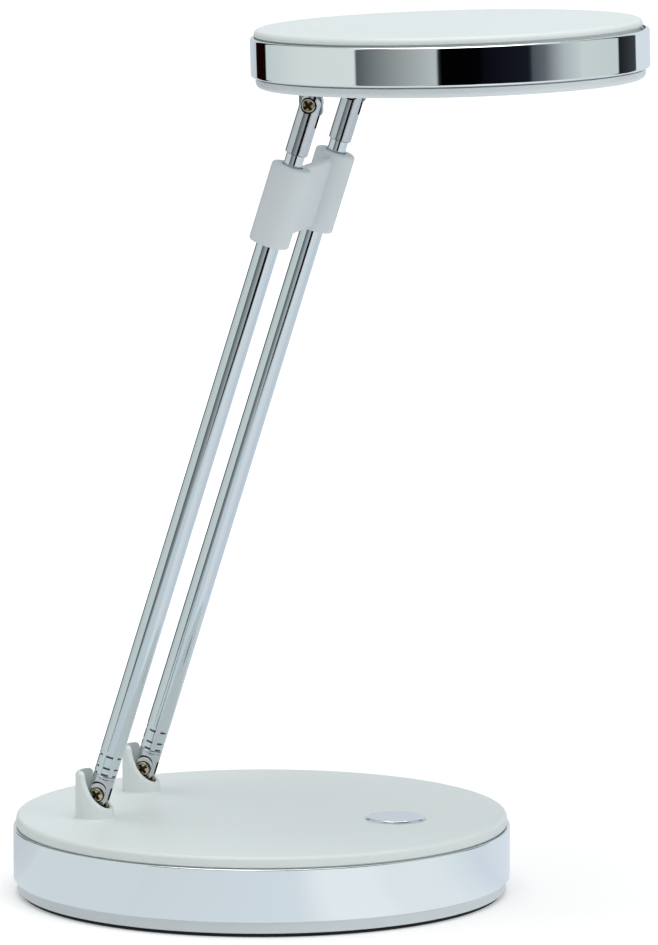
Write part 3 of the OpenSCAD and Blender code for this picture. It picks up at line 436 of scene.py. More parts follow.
def turned(name: str, outline: list[tuple[float, float]], segments: int = LARGE,
           closed: bool = False) -> bpy.types.Object:
    """Turns a piece about Z: a circle is extruded from each point of an outline to the next.

    Args:
        name: name of the piece.
        outline: radius and height of each point, in millimetres.
        segments: faces round the piece.
        closed: leads the outline back to its first point, as on a ring or a tube.

    Returns:
        The piece, in object mode.
    """
    clear_selection()
    radius, height = outline[0]
    bpy.ops.mesh.primitive_circle_add(vertices=segments, radius=radius, location=(0, 0, 0))
    piece = bpy.context.object
    piece.name = name
    bpy.ops.object.mode_set(mode="EDIT")
    bpy.ops.mesh.select_mode(type="EDGE")
    bpy.ops.mesh.select_all(action="SELECT")
    bpy.ops.transform.translate(value=(0, 0, height))
    if not closed:
        bpy.ops.mesh.edge_face_add()
        bpy.ops.mesh.select_mode(type="EDGE")
    for next_radius, next_height in outline[1:] + (outline[:1] if closed else []):
        step = (0, 0, next_height - height)
        bpy.ops.mesh.extrude_edges_move(TRANSFORM_OT_translate={"value": step})
        share = next_radius / radius
        bpy.ops.transform.resize(value=(share, share, 1))
        radius, height = next_radius, next_height
    if not closed:
        bpy.ops.mesh.edge_face_add()
    bpy.ops.mesh.select_all(action="SELECT")
    bpy.ops.mesh.remove_doubles(threshold=MERGE)
    bpy.ops.mesh.normals_make_consistent(inside=False)
    bpy.ops.object.mode_set(mode="OBJECT")
    return piece


def soft_top(radius: float, top: float, edge: float, flat: float,
             steps: int = 12) -> list[tuple[float, float]]:
    """Rounded upper edge of a round plate, and the first point of its flat top.

    Args:
        radius: outside radius of the plate.
        top: height of its top.
        edge: radius of the rounding.
        flat: distance from the rounding to the point on the flat top.
        steps: straight stretches that make the rounding.

    Returns:
        The points, as radius and height.
    """
    return arc((radius - edge, top - edge), edge, 0, 90, steps) + [(radius - edge - flat, top)]


def box_tool(centre: tuple[float, float, float],
             size: tuple[float, float, float]) -> bpy.types.Object:
    """Adds a block for cutting.

    Args:
        centre: middle of the block, in millimetres.
        size: its length along X, Y and Z.

    Returns:
        The block.
    """
    clear_selection()
    bpy.ops.mesh.primitive_cube_add(size=1, location=centre, scale=size)
    return bpy.context.object


def rod_tool(centre: tuple[float, float, float], radius: float, length: float,
             axis: Axis = Axis.Z, segments: int = SLIM) -> bpy.types.Object:
    """Adds a round rod for cutting.

    Args:
        centre: middle of the rod, in millimetres.
        radius: its radius.
        length: its length.
        axis: way that it lies.
        segments: faces round it.

    Returns:
        The rod.
    """
    clear_selection()
    bpy.ops.mesh.primitive_cylinder_add(vertices=segments, radius=radius, depth=length,
                                        location=centre, rotation=axis.value)
    return bpy.context.object


def carve(piece: bpy.types.Object, *tools: bpy.types.Object) -> bpy.types.Object:
    """Takes one solid after another away from a piece, and throws the solids away.

    Args:
        piece: the piece.
        *tools: the cutting solids.

    Returns:
        The same piece.
    """
    for tool in tools:
        take(piece)
        step = piece.modifiers.new("cut", "BOOLEAN")
        step.operation = "DIFFERENCE"
        step.solver = "EXACT"
        step.object = tool
        bpy.ops.object.modifier_apply(modifier=step.name)
        bpy.data.objects.remove(tool)
    return piece


def soften(piece: bpy.types.Object, width: float, segments: int = 2, angle: float = 40.0) -> None:
    """Rounds the piece's sharp edges.

    Args:
        piece: the piece, still in millimetres.
        width: width of the rounding.
        segments: faces across it.
        angle: edges sharper than this, in degrees, are rounded.
    """
    take(piece)
    step = piece.modifiers.new("edges", "BEVEL")
    step.width = width
    step.segments = segments
    step.limit_method = "ANGLE"
    step.angle_limit = math.radians(angle)
    bpy.ops.object.modifier_apply(modifier=step.name)


def settle(piece: bpy.types.Object) -> None:
    """Puts a piece's place and size into its mesh."""
    take(piece)
    bpy.ops.object.transform_apply(location=True, rotation=True, scale=True)


def mark(piece: bpy.types.Object, finishes: tuple[Finish, ...],
         pick: Callable[[bpy.types.MeshPolygon], int]) -> None:
    """Gives each face one of the piece's finishes.

    Args:
        piece: the piece, still in millimetres.
        finishes: its finishes, the main one first.
        pick: gives the number of a face's finish, by its place or normal. False is 0 and True is 1.
    """
    for finish in finishes:
        piece.data.materials.append(finish.material())
    for face in piece.data.polygons:
        face.material_index = int(pick(face))


def joined(name: str, *parts: bpy.types.Object) -> bpy.types.Object:
    """Joins several meshes into the first.

    Args:
        name: name of the whole.
        *parts: the pieces that it is made of.

    Returns:
        The whole.
    """
    clear_selection()
    for part in parts:
        part.select_set(True)
    bpy.context.view_layer.objects.active = parts[0]
    bpy.ops.object.join()
    parts[0].name = name
    return parts[0]


def copied(piece: bpy.types.Object, name: str) -> bpy.types.Object:
    """Copies a piece with a mesh of its own.

    Args:
        piece: the piece to copy.
        name: name of the copy.

    Returns:
        The copy.
    """
    copy = piece.copy()
    copy.data = piece.data.copy()
    copy.name = name
    bpy.context.collection.objects.link(copy)
    return copy


def deliver(piece: bpy.types.Object, nodes: tuple[str, ...], *finishes: Finish,
            where: Matrix = Matrix.Identity(4), angle: float = 32.0) -> None:
    """Sets a finished piece in the frame, in place of its CAD nodes.

    Args:
        piece: the piece, in millimetres about its own axis.
        nodes: CAD nodes that it stands for. It rides with the first one's body.
        *finishes: its finish, where its faces aren't marked with finishes yet.
        where: place of its axis in the frame, in millimetres.
        angle: edges sharper than this, in degrees, stay sharp in the shading.
    """
    take(piece)
    piece.matrix_world = Matrix.Scale(MM, 4) @ where @ piece.matrix_world
    bpy.ops.object.transform_apply(location=True, rotation=True, scale=True)
    bpy.ops.object.shade_smooth_by_angle(angle=math.radians(angle))
    step = piece.modifiers.new("flats", "WEIGHTED_NORMAL")
    step.keep_sharp = True
    bpy.ops.object.modifier_apply(modifier=step.name)
    for finish in finishes:
        piece.data.materials.append(finish.material())
    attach(piece, BODY_OF[nodes[0]])
    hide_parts(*nodes)
    LOG.info("%s stands for %s, %d faces", piece.name, ", ".join(nodes), len(piece.data.polygons))


def bright_ring_piece(name: str, radius: float, low: float, high: float, wall: float, edge: float,
                      nodes: tuple[str, ...], hole: bpy.types.Object | None = None,
                      where: Matrix = Matrix.Identity(4)) -> None:
    """Turns a plated ring and sets it in the frame.

    Args:
        name: name of the piece.
        radius: outside radius.
        low: height of its lower edge.
        high: height of its upper edge.
        wall: thickness of its wall.
        edge: rounding of its outer edges.
        nodes: CAD nodes that it stands for.
        hole: solid that is cut from it.
        where: place of its axis in the frame.
    """
    outline = [(radius - wall, low)]
    outline += arc((radius - edge, low + edge), edge, -90, 0)
    outline += arc((radius - edge, high - edge), edge, 0, 90)
    outline += [(radius - wall, high)]
    ring = turned(name, outline, closed=True)
    if hole:
        carve(ring, hole)
    deliver(ring, nodes, RING_CHROME, where=where)


# Sub-assemblies


@dataclass
class HingeCup:
    """One of the two cups on the base cover, with a high back and a rim swept to its front."""

    bore_r: float = 4.3
    outer_r: float = 5.8
    high: float = 14.6
    lip: float = 2.8
    sweep_r: float = 15.0
    rim_t: float = 3.5
    corner_r: float = 1.5
    outer_round: float = 1.3
    inner_round: float = 0.2
    foot_r: float = 0.7
    depth: float = 2.2
    stations: int = 90
    finer: int = 40

    def rim_height(self, x: float) -> float:
        """Works out how high the rim stands.

        Args:
            x: distance in front of the cup's axis.

        Returns:
            Height over the cover's surface.
        """
        sweep_x = self.sweep_r - self.outer_r + self.rim_t
        sweep_z = self.lip + math.sqrt(self.sweep_r ** 2 - (sweep_x - self.outer_r) ** 2)
        corner_z = self.high - self.corner_r
        reach = self.sweep_r + self.corner_r
        corner_x = sweep_x - math.sqrt(reach ** 2 - (sweep_z - corner_z) ** 2)
        if x < corner_x:
            return self.high
        if x < corner_x + self.corner_r * (sweep_x - corner_x) / reach:
            return corner_z + math.sqrt(max(self.corner_r ** 2 - (x - corner_x) ** 2, 0.0))
        return sweep_z - math.sqrt(max(self.sweep_r ** 2 - (x - sweep_x) ** 2, 0.0))

    def rim_line(self) -> list[Vector]:
        """Line along the middle of the rim, in even steps from the front round to the front again.

        Returns:
            The points, the first not repeated.
        """
        middle_r = (self.outer_r + self.bore_r) / 2
        fine = self.finer * self.stations
        spots = [(middle_r * math.cos(a), middle_r * math.sin(a))
                 for a in (math.pi * i / fine for i in range(fine + 1))]
        way = [Vector((x, y, self.rim_height(x))) for x, y in spots]
        run = [0.0]
        for first, second in zip(way, way[1:]):
            run.append(run[-1] + (second - first).length)
        half, place = [], 0
        for station in range(self.stations + 1):
            goal = run[-1] * station / self.stations
            while place < fine - 1 and run[place + 1] < goal:
                place += 1
            share = (goal - run[place]) / (run[place + 1] - run[place])
            half.append(way[place].lerp(way[place + 1], share))
        return half + [Vector((p.x, -p.y, p.z)) for p in reversed(half[1:-1])]

    def build(self, centre: Vector) -> bpy.types.Object:
        """Sweeps the rim along its line, then draws both walls and the foot's fillet down from it.

        Args:
            centre: middle of the cup at the cover's surface.

        Returns:
            The cup, in millimetres.
        """
        half_t = (self.outer_r - self.bore_r) / 2
        section = arc((half_t - self.outer_round, -self.outer_round), self.outer_round, 0, 90)
        section += arc((self.inner_round - half_t, -self.inner_round), self.inner_round, 90, 180, 3)
        across = [Vector((x, y, 0)) for x, y in section]
        profile = self.line("cup_rim_section", across, closed=False)
        cup = self.line("hinge_cup", self.rim_line(), closed=True)
        cup.data.twist_mode = "Z_UP"
        cup.data.bevel_mode = "OBJECT"
        cup.data.bevel_object = profile
        take(cup)
        bpy.ops.object.convert(target="MESH")
        cup = bpy.context.object
        bpy.data.objects.remove(profile)
        # The section stands square to a steep line, so its foot is brought back to the cup's radius
        for vertex in cup.data.vertices:
            reach = math.hypot(vertex.co.x, vertex.co.y)
            if reach > self.outer_r:
                vertex.co.xy *= self.outer_r / reach
        middle_r = (self.outer_r + self.bore_r) / 2
        fillet = arc((self.outer_r + self.foot_r, self.foot_r), self.foot_r, 180, 270, MODEST)
        self.draw_down(cup, lambda reach: reach > middle_r, fillet)
        self.draw_down(cup, lambda reach: reach < middle_r, [(self.bore_r, -self.depth)])
        bpy.ops.mesh.select_all(action="SELECT")
        bpy.ops.mesh.normals_make_consistent(inside=False)
        bpy.ops.object.mode_set(mode="OBJECT")
        cup.location = centre
        settle(cup)
        return cup

    def line(self, name: str, points: list[Vector], closed: bool) -> bpy.types.Object:
        """Adds a curve of straight stretches.

        Args:
            name: name of the curve.
            points: the points that it goes through.
            closed: leads it back to its first point.

        Returns:
            The curve's object.
        """
        curve = bpy.data.curves.new(name, "CURVE")
        curve.dimensions = "3D" if closed else "2D"
        spline = curve.splines.new("POLY")
        spline.points.add(len(points) - 1)
        for spot, point in zip(spline.points, points):
            spot.co = (*point, 1)
        spline.use_cyclic_u = closed
        made = bpy.data.objects.new(name, curve)
        bpy.context.collection.objects.link(made)
        return made

    def draw_down(self, cup: bpy.types.Object, wanted: Callable[[float], bool],
                  outline: list[tuple[float, float]]) -> None:
        """Extrudes one open edge of the rim down to each point of an outline in turn.

        Args:
            cup: the cup, left in edit mode.
            wanted: says of a distance from the axis whether the edge there is meant.
            outline: radius and height of each point.
        """
        take(cup)
        bpy.ops.object.mode_set(mode="EDIT")
        bpy.ops.mesh.select_mode(type="EDGE")
        bpy.ops.mesh.select_all(action="DESELECT")
        mesh = bmesh.from_edit_mesh(cup.data)
        for edge in mesh.edges:
            middle = (edge.verts[0].co + edge.verts[1].co) / 2
            edge.select_set(edge.is_boundary and wanted(math.hypot(middle.x, middle.y)))
        bmesh.update_edit_mesh(cup.data)
        radius, height = outline[0]
        bpy.ops.mesh.extrude_edges_move(TRANSFORM_OT_translate={"value": (0, 0, -2 * self.high)})
        bpy.ops.transform.resize(value=(1, 1, 0), center_override=(0, 0, height))
        for next_radius, next_height in outline[1:]:
            step = (0, 0, next_height - height)
            bpy.ops.mesh.extrude_edges_move(TRANSFORM_OT_translate={"value": step})
            share = next_radius / radius
            bpy.ops.transform.resize(value=(share, share, 1), center_override=(0, 0, 0))
            radius, height = next_radius, next_height


@dataclass
class Base:
    """Round base: cover with two hinge cups, bright ring, housing, pad and button."""

    radius: float = 75.0
    ring_low: float = 4.7
    ring_high: float = 20.55
    ring_wall: float = 1.2
    ring_edge: float = 0.35
    cover_r: float = 74.1
    cover_low: float = 20.95
    cover_top: float = 24.1
    cover_plate: float = 2.2
    cover_edge: float = 1.2
    cover_flat: float = 0.8
    spigot_low: float = 16.75
    shell_r: float = 73.5
    shell_t: float = 2.0
    wall_top: float = 16.45
    floor_top: float = 3.4
    skirt_r: float = 73.8
    skirt_low: float = 1.2
    skirt_edge: float = 0.6
    pad_r: float = 72.5
    pad_t: float = 1.6
    pad_gap: float = 0.3
    pad_edge: float = 0.3
    pad_flat: float = 0.2
    inlet_z: float = 12.625
    inlet_r: float = 4.2
    inlet_reach: float = 8.0
    cup_x: float = -45.4
    cup_hole_gap: float = 0.5
    arm_y: float = ARM_Y
    button_x: float = 42.0
    button_r: float = 9.0
    button_gap: float = 0.1
    button_top: float = 24.85
    button_edge: float = 0.5
    button_flat: float = 0.3
    button_flange: float = 1.2
    flange_low: float = 20.65
    stem_r: float = 2.0
    stem_l: float = 1.5
    cup: HingeCup = field(default_factory=HingeCup)

    def build(self) -> None:
        """Builds every visible piece of the base."""
        self.build_cover()
        self.build_ring()
        self.build_housing()
        self.build_pad()
        self.build_button()

    def build_cover(self) -> None:
        """Cover plate with a soft edge, a spigot, holes for button and arms, and the cups on it."""
        under = self.cover_top - self.cover_plate
        inner_r = self.shell_r - self.shell_t
        outline = [(inner_r, under), (inner_r, self.spigot_low), (self.shell_r, self.spigot_low),
                   (self.shell_r, self.cover_low), (self.cover_r, self.cover_low)]
        outline += soft_top(self.cover_r, self.cover_top, self.cover_edge, self.cover_flat)
        cover = turned("cover_plate", outline)
        through = 4 * self.cover_plate
        holes = [rod_tool((self.button_x, 0, under), self.button_r + self.button_gap, through)]
        holes += [rod_tool((self.cup_x, side.value * self.arm_y, under),
                           self.cup.bore_r + self.cup_hole_gap, through) for side in Side]
        carve(cover, *holes, self.inlet_tool())
        cups = [self.cup.build(Vector((self.cup_x, side.value * self.arm_y, self.cover_top)))
                for side in Side]
        deliver(joined("cover_with_cups", cover, *cups), ("base_cover",), COVER_ABS)

    def build_ring(self) -> None:
        """Bright ring with rounded edges and the inlet's hole at the back."""
        bright_ring_piece("base_bright_ring", self.radius, self.ring_low, self.ring_high,
                          self.ring_wall, self.ring_edge, ("base_ring",), self.inlet_tool())

    def inlet_tool(self) -> bpy.types.Object:
        """Rod that cuts the inlet's hole through the back of the base."""
        return rod_tool((-self.radius, 0, self.inlet_z), self.inlet_r, 2 * self.inlet_reach, Axis.X)

    def build_housing(self) -> None:
        """Housing whose rounded skirt shows under the ring, with a shallow seat for the pad."""
        inner_r = self.shell_r - self.shell_t
        seat_r = self.pad_r + self.pad_gap
        outline = [(seat_r, self.pad_t), (seat_r, self.skirt_low)]
        outline += arc((self.skirt_r - self.skirt_edge, self.skirt_low + self.skirt_edge),
                       self.skirt_edge, -90, 0, FINE)
        outline += [(self.skirt_r, self.ring_low), (self.shell_r, self.ring_low),
                    (self.shell_r, self.wall_top), (inner_r, self.wall_top),
                    (inner_r, self.floor_top)]
        housing = carve(turned("base_skirt_housing", outline), self.inlet_tool())
        # the skirt's greyer tone is painted shade
        deliver(housing, ("base_housing",), HOUSING_ABS_SHADED)

    def build_pad(self) -> None:
        """Foam pad, die cut, with slightly crushed edges."""
        r, edge = self.pad_r, self.pad_edge
        outline = [(r - edge - self.pad_flat, 0)] + arc((r - edge, edge), edge, -90, 0, ROUGH)
        outline += [(r, self.pad_t)]
        deliver(turned("foam_pad", outline), ("foot_pad",), FOAM)

    def build_button(self) -> None:
        """Button cap with a rounded edge, its flange under the cover and its stem on the switch."""
        under = self.flange_low + self.button_flange
        flange_r = self.button_r + self.button_flange
        outline = [(self.stem_r, self.flange_low - self.stem_l), (self.stem_r, self.flange_low),
                   (flange_r, self.flange_low), (flange_r, under), (self.button_r, under)]
        outline += soft_top(self.button_r, self.button_top, self.button_edge, self.button_flat,
                            MODEST)
        deliver(turned("button_cap", outline, segments=MEDIUM), ("power_button",), BUTTON_CHROME,
                where=Matrix.Translation((self.button_x, 0, 0)))


@dataclass
class PivotScrew:
    """Screw across a fork, with a low domed head and a cross recess on its -Y side."""

    head_r: float = 2.05
    head_h: float = 1.05
    seat: float = 2.3
    shank_r: float = 1.25
    tip: float = 0.8
    dome: float = 0.35
    recess_span: float = 3.2
    recess_w: float = 0.95
    recess_deep: float = 0.75
    recess_hole_r: float = 0.75
    recess_wing: float = 0.6
    recess_rim: float = 0.4
    recess_lip: float = 0.3
    recess_turn: float = -36.0
    recess_faces: int = 32
    wall_rise: float = 0.5

    def build(self, name: str) -> bpy.types.Object:
        """Models the screw along Z with its head on top, then lays it along -Y.

        Args:
            name: name of the piece.

        Returns:
            The screw in millimetres about the hinge point, with the recess in slot 1.
        """
        top = self.seat + self.head_h
        outline = [(self.shank_r, -self.seat - self.tip), (self.shank_r, self.seat),
                   (self.head_r, self.seat)]
        outline += arc((self.head_r - self.dome, top - self.dome), self.dome, 0, 80, 5)
        outline += [(self.head_r / 2, top)]
        screw = turned(name, outline, segments=TINY)
        tools = [rod_tool((0, 0, top), self.recess_hole_r, 2 * self.recess_deep,
                          segments=self.recess_faces)]
        for size in ((self.recess_span, self.recess_w), (self.recess_w, self.recess_span)):
            tools += [box_tool((0, 0, top), (*size, 2 * self.recess_wing))]
        carve(screw, *tools)

        def in_recess(face: bpy.types.MeshPolygon) -> bool:
            """Says whether a face is a wall, rising less than wall_rise, or the recess's floor.

            Args:
                face: a face of the screw.

            Returns:
                True in the recess.
            """
            reach, deep = math.hypot(face.center.x, face.center.y), top - face.center.z
            if reach > self.head_r - self.recess_rim or deep > self.recess_deep + NEAR:
                return False
            return face.normal.z < self.wall_rise or deep > self.recess_lip

        mark(screw, (SCREW_NICKEL, SCREW_RECESS), in_recess)
        screw.rotation_euler.z = math.radians(self.recess_turn)
        settle(screw)
        screw.rotation_euler.x = math.pi / 2
        settle(screw)
        return screw


@dataclass
class Arms:
    """Both arms: forks, tubes and screws, built once and set on each side, and the cross block."""

    arm_y: float = ARM_Y
    fork_r: float = 3.45
    fork_l: float = 6.3
    shank_r: float = 3.08
    shank_l: float = 10.0
    fork_edge: float = 0.08
    ridge_in: float = 0.9
    ridge_half: float = 0.15
    ridge_deep: float = 0.12
    slot_w: float = 2.3
    slot_deep: float = 3.0
    ear_y: float = 2.3
    flat_r: float = 3.6
    flat_rise: float = 0.8
    flat_fillet: float = 1.5
    flat_shade: float = 0.85
    flat_lap: float = 1.0
    arch_rim: float = 0.05
    flat_across: float = 0.995
    hollow_up: float = -0.05
    seat_r: float = 2.3
    seat_deep: float = 0.3
    tube_r: float = 3.55
    tube_wall: float = 0.45
    tube_top: float = 194.6
    tube_edge: float = 0.12
    tube_faces: int = 120
    crimp_rows: tuple[float, ...] = (6.8, 8.9, 12.5)
    crimp_count: int = 6
    crimp_high: float = 0.6
    crimp_wide: float = 2.3
    crimp_deep: float = 0.34
    crimp_edge: float = 0.1
    crimp_turns: tuple[float, float] = (12.0, -8.0)
    swage_top: float = 13.9
    swage: float = 0.06
    swage_half: float = 0.1
    inner_r: float = 2.8
    inner_wall: float = 0.5
    inner_low: float = 59.5
    inner_top: float = 212.8
    inner_edge: float = 0.1
    head_s: float = 219.6
    sleeve_r: float = 3.45
    sleeve_l: float = 15.4
    sleeve_foot: float = 0.25
    sleeve_edge: float = 0.06
    sleeve_slot: float = 6.2
    sleeve_bore_r: float = 2.95
    sleeve_bore_deep: float = 1.2
    pocket_r: float = 2.45
    block_low: float = 176.0
    block_top: float = 200.6
    barrel_r: float = 6.1
    barrel_top_edge: float = 1.0
    barrel_low_edge: float = 0.8
    block_bore_r: float = 3.57
    guide_r: float = 3.27
    guide_l: float = 6.0
    web_t: float = 3.0
    web_low: float = 0.9
    web_high: float = 1.6
    web_edge: float = 1.4
    web_lap: float = 1.0
    screw: PivotScrew = field(default_factory=PivotScrew)

    def at(self, side: Side | None = None, along: float = 0.0) -> Matrix:
        """Place on one arm, or half way between both, in millimetres.

        Args:
            side: side of the arm, or none for the middle.
            along: distance from the lower hinge along the arm.

        Returns:
            Matrix with Z along the arm and Y along the hinge.
        """
        foot = Vector(JOINTS["arm_tilt"]["pos_m"]) / MM
        way = Vector(JOINTS["telescope"]["axis"])
        lean = math.atan2(way.x, way.z)
        y = side.value * self.arm_y if side else 0.0
        return (Matrix.Translation((foot.x, y, foot.z)) @ Matrix.Rotation(lean, 4, "Y")
                @ Matrix.Translation((0, 0, along)))

    def build(self) -> None:
        """Builds both arms and what joins them."""
        builders = {
            "lower_fork": (self.build_lower_fork, 0.0),
            "outer_tube": (self.build_outer_tube, 0.0),
            "inner_tube": (self.build_inner_tube, 0.0),
            "upper_fork": (self.build_upper_fork, self.head_s),
        }
        for node, (builder, along) in builders.items():
            pattern = builder()
            turns = self.crimp_turns if node == "outer_tube" else (0.0, 0.0)
            for side, turn in zip(Side, turns):
                name = f"{node}_{side.word}"
                deliver(copied(pattern, f"{name}_piece"), (name,),
                        where=self.at(side, along) @ Matrix.Rotation(math.radians(turn), 4, "Z"))
            bpy.data.objects.remove(pattern)
        pattern = self.screw.build("pivot_screw")
        for node, along in (("base_pivot_screws", 0.0), ("head_pivot_screws", self.head_s)):
            for side in Side:
                deliver(copied(pattern, f"{node}_{side.word}"), (node,), where=self.at(side, along))
        bpy.data.objects.remove(pattern)
        self.build_block()

    def rounded_end(self, radius: float, way: float) -> bpy.types.Object:
        """Solid that rounds a fork's end about the hinge.

        Args:
            radius: radius of the fork.
            way: -1 for an end below the hinge, 1 for one above.

        Returns:
            The solid to take away.
        """
        reach = 2 * radius
        corner = box_tool((0, 0, way * reach / 2), (2 * reach, 2 * reach, reach))
        return carve(corner, rod_tool((0, 0, 0), radius, 4 * reach, Axis.Y))

    def build_lower_fork(self) -> bpy.types.Object:
        """Fork with a slot for the lug, a shank for the tube and two milled flats that end hollow.

        Returns:
            The fork about its hinge, in millimetres.
        """
        r, half, low_r = self.fork_r, self.ridge_half, self.fork_r - self.ridge_deep
        groove = self.fork_l - self.ridge_in
        outline = [(r, -r), (r, groove - half), (low_r, groove), (r, groove + half),
                   (r, self.fork_l - half), (low_r, self.fork_l), (self.shank_r, self.fork_l),
                   (self.shank_r, self.fork_l + self.shank_l)]
        fork = turned("lower_fork", outline, segments=SLIM)
        reach = 4 * r
        tools = [self.rounded_end(r, -1),
                 box_tool((0, 0, self.slot_deep - reach / 2), (reach, self.slot_w, reach))]
        hollow_low = self.flat_rise + self.flat_lap
        for side in Side:
            y = side.value * (self.ear_y + r)
            mills = [rod_tool((0, y, self.flat_rise), self.flat_r, 2 * r, Axis.Y),
                     box_tool((0, y, hollow_low - reach / 2), (2 * self.flat_r, 2 * r, reach))]
            for mill in mills:
                settle(mill)
                soften(mill, self.flat_fillet, FINE)
            seat = rod_tool((0, side.value * self.ear_y, 0), self.seat_r, 2 * self.seat_deep,
                            Axis.Y, SMALL)
            tools += [*mills, seat]
        carve(fork, *tools)
        soften(fork, self.fork_edge)

        def finish_of(face: bpy.types.MeshPolygon) -> int:
            """Finds a face's finish.

            The slot, the screw's seat and the shaded edge of the hollow that ends a flat get
            painted shade, and the rest of that hollow gets a painted highlight. What faces across
            by flat_across or up by hollow_up is outside the hollow.

            Args:
                face: a face of the fork.

            Returns:
                Number of the finish.
            """
            x, z, out = face.center.x, face.center.z, abs(face.center.y)
            if out < self.slot_w / 2 + NEAR and z < self.slot_deep + ROUNDED:
                return 1
            if math.hypot(x, z) < self.seat_r + NEAR and out < self.ear_y - ROUNDED:
                return 1
            reach_out = math.hypot(x, z - self.flat_rise)
            level = abs(face.normal.y) > self.flat_across or face.normal.z > self.hollow_up
            if level or z < hollow_low or reach_out > self.flat_r:
                return 0
            if not self.ear_y + NEAR / 2 < out < r - self.arch_rim:
                return 0
            return 1 if reach_out > self.flat_r - self.flat_shade else 2

        # Painted shade on the slot, the seat and the hollow's shaded edge; painted highlight on the
        # rest of the hollow
        mark(fork, (FORK_NICKEL, PAINTED_SHADE, PAINTED_HIGHLIGHT_NICKEL), finish_of)
        return fork

    def build_outer_tube(self) -> bpy.types.Object:
        """Tube with a swaged foot and rows of crimps that hold the fork's shank.

        Returns:
            The tube about the lower hinge, in millimetres.
        """
        r, foot_r = self.tube_r, self.tube_r - self.swage
        bore_r, half = r - self.tube_wall, self.swage_half
        outline = [(bore_r, self.fork_l), (foot_r - self.tube_edge, self.fork_l),
                   (foot_r, self.fork_l + self.tube_edge)]
        for row in self.crimp_rows:
            outline += [(foot_r, row - self.crimp_high / 2), (foot_r, row + self.crimp_high / 2)]
        outline += [(foot_r, self.swage_top - half), (r, self.swage_top + half), (r, self.tube_top),
                    (bore_r, self.tube_top)]
        tube = turned("outer_tube", outline, segments=self.tube_faces, closed=True)
        half_turn = self.crimp_wide / 2 / foot_r
        step = 2 * math.pi / self.crimp_count
        take(tube)
        bpy.ops.object.mode_set(mode="EDIT")

        def in_crimp(face: bmesh.types.BMFace) -> bool:
            """Says whether a face lies in one of the crimps.

            Args:
                face: a face of the tube.

            Returns:
                True in a crimp.
            """
            centre = face.calc_center_median()
            if math.hypot(centre.x, centre.y) < foot_r - self.tube_wall / 2:
                return False
            if min(abs(centre.z - row) for row in self.crimp_rows) > self.crimp_high / 3:
                return False
            turn = math.atan2(centre.y, centre.x) / step - 0.5
            return abs(turn - round(turn)) * step < half_turn

        pick_faces(tube, in_crimp)
        bpy.ops.mesh.inset(thickness=self.crimp_edge, depth=-self.crimp_deep)
        bpy.ops.object.mode_set(mode="OBJECT")

        def dark(face: bpy.types.MeshPolygon) -> bool:
            """Says whether a face is the floor of a crimp or the tube's cut end.

            Args:
                face: a face of the tube.

            Returns:
                True where shade is painted.
            """
            reach = math.hypot(face.center.x, face.center.y)
            on_floor = bore_r + NEAR < reach < foot_r - self.crimp_deep + NEAR
            shaded_floor = on_floor and face.center.z < self.swage_top
            return shaded_floor or face.center.z < self.fork_l + ROUNDED

        # Painted shade on the floors of the crimps and on the tube's cut end
        mark(tube, (TUBE_CHROME, CRIMP_PAINTED_SHADE), dark)
        return tube

    def build_inner_tube(self) -> bpy.types.Object:
        """Inner tube, plain, with broken edges.

        Returns:
            The tube about the lower hinge, in millimetres.
        """
        r, bore, edge = self.inner_r, self.inner_r - self.inner_wall, self.inner_edge
        low, top = self.inner_low, self.inner_top
        outline = [(bore, low), (r - edge, low), (r, low + edge), (r, top - edge), (r - edge, top),
                   (bore, top)]
        tube = turned("inner_tube", outline, segments=SLIM, closed=True)
        mark(tube, (TUBE_CHROME,), lambda face: 0)
        return tube

    def build_upper_fork(self) -> bpy.types.Object:
        """Sleeve with a slot for the head's lug and a pocket for the screw's head on each side.

        Returns:
            The fork about the upper hinge, in millimetres.
        """
        r = self.sleeve_r
        foot = self.sleeve_foot
        outline = [(r - foot, -self.sleeve_l), (r, foot - self.sleeve_l), (r, r)]
        fork = turned("upper_fork", outline, segments=SLIM)
        reach = 4 * r
        tools = [self.rounded_end(r, 1),
                 box_tool((0, 0, reach / 2 - self.sleeve_slot), (reach, self.slot_w, reach))]
        tools += [rod_tool((0, side.value * (self.ear_y + r), 0), self.pocket_r, 2 * r, Axis.Y,
                           SMALL) for side in Side]
        tools += [rod_tool((0, 0, -self.sleeve_l), self.sleeve_bore_r, 2 * self.sleeve_bore_deep,
                           segments=SMALL)]
        carve(fork, *tools)
        soften(fork, self.sleeve_edge)

        def dark(face: bpy.types.MeshPolygon) -> bool:
            """Says whether a face lies in the slot, the pocket of the screw or the mouth below.

            Args:
                face: a face of the fork.

            Returns:
                True where shade is painted.
            """
            x, y, z = face.center
            in_slot = abs(y) < self.slot_w / 2 + NEAR and z > -self.sleeve_slot - ROUNDED
            in_pocket = math.hypot(x, z) < self.pocket_r + NEAR / 2 and abs(y) < r
            in_mouth = math.hypot(x, y) < self.sleeve_bore_r + NEAR / 2 and z < -self.sleeve_l / 2
            return in_slot or in_pocket or in_mouth

        # Painted shade on the slot, the screw's pocket and the mouth below
        mark(fork, (FORK_NICKEL, PAINTED_SHADE), dark)
        return fork

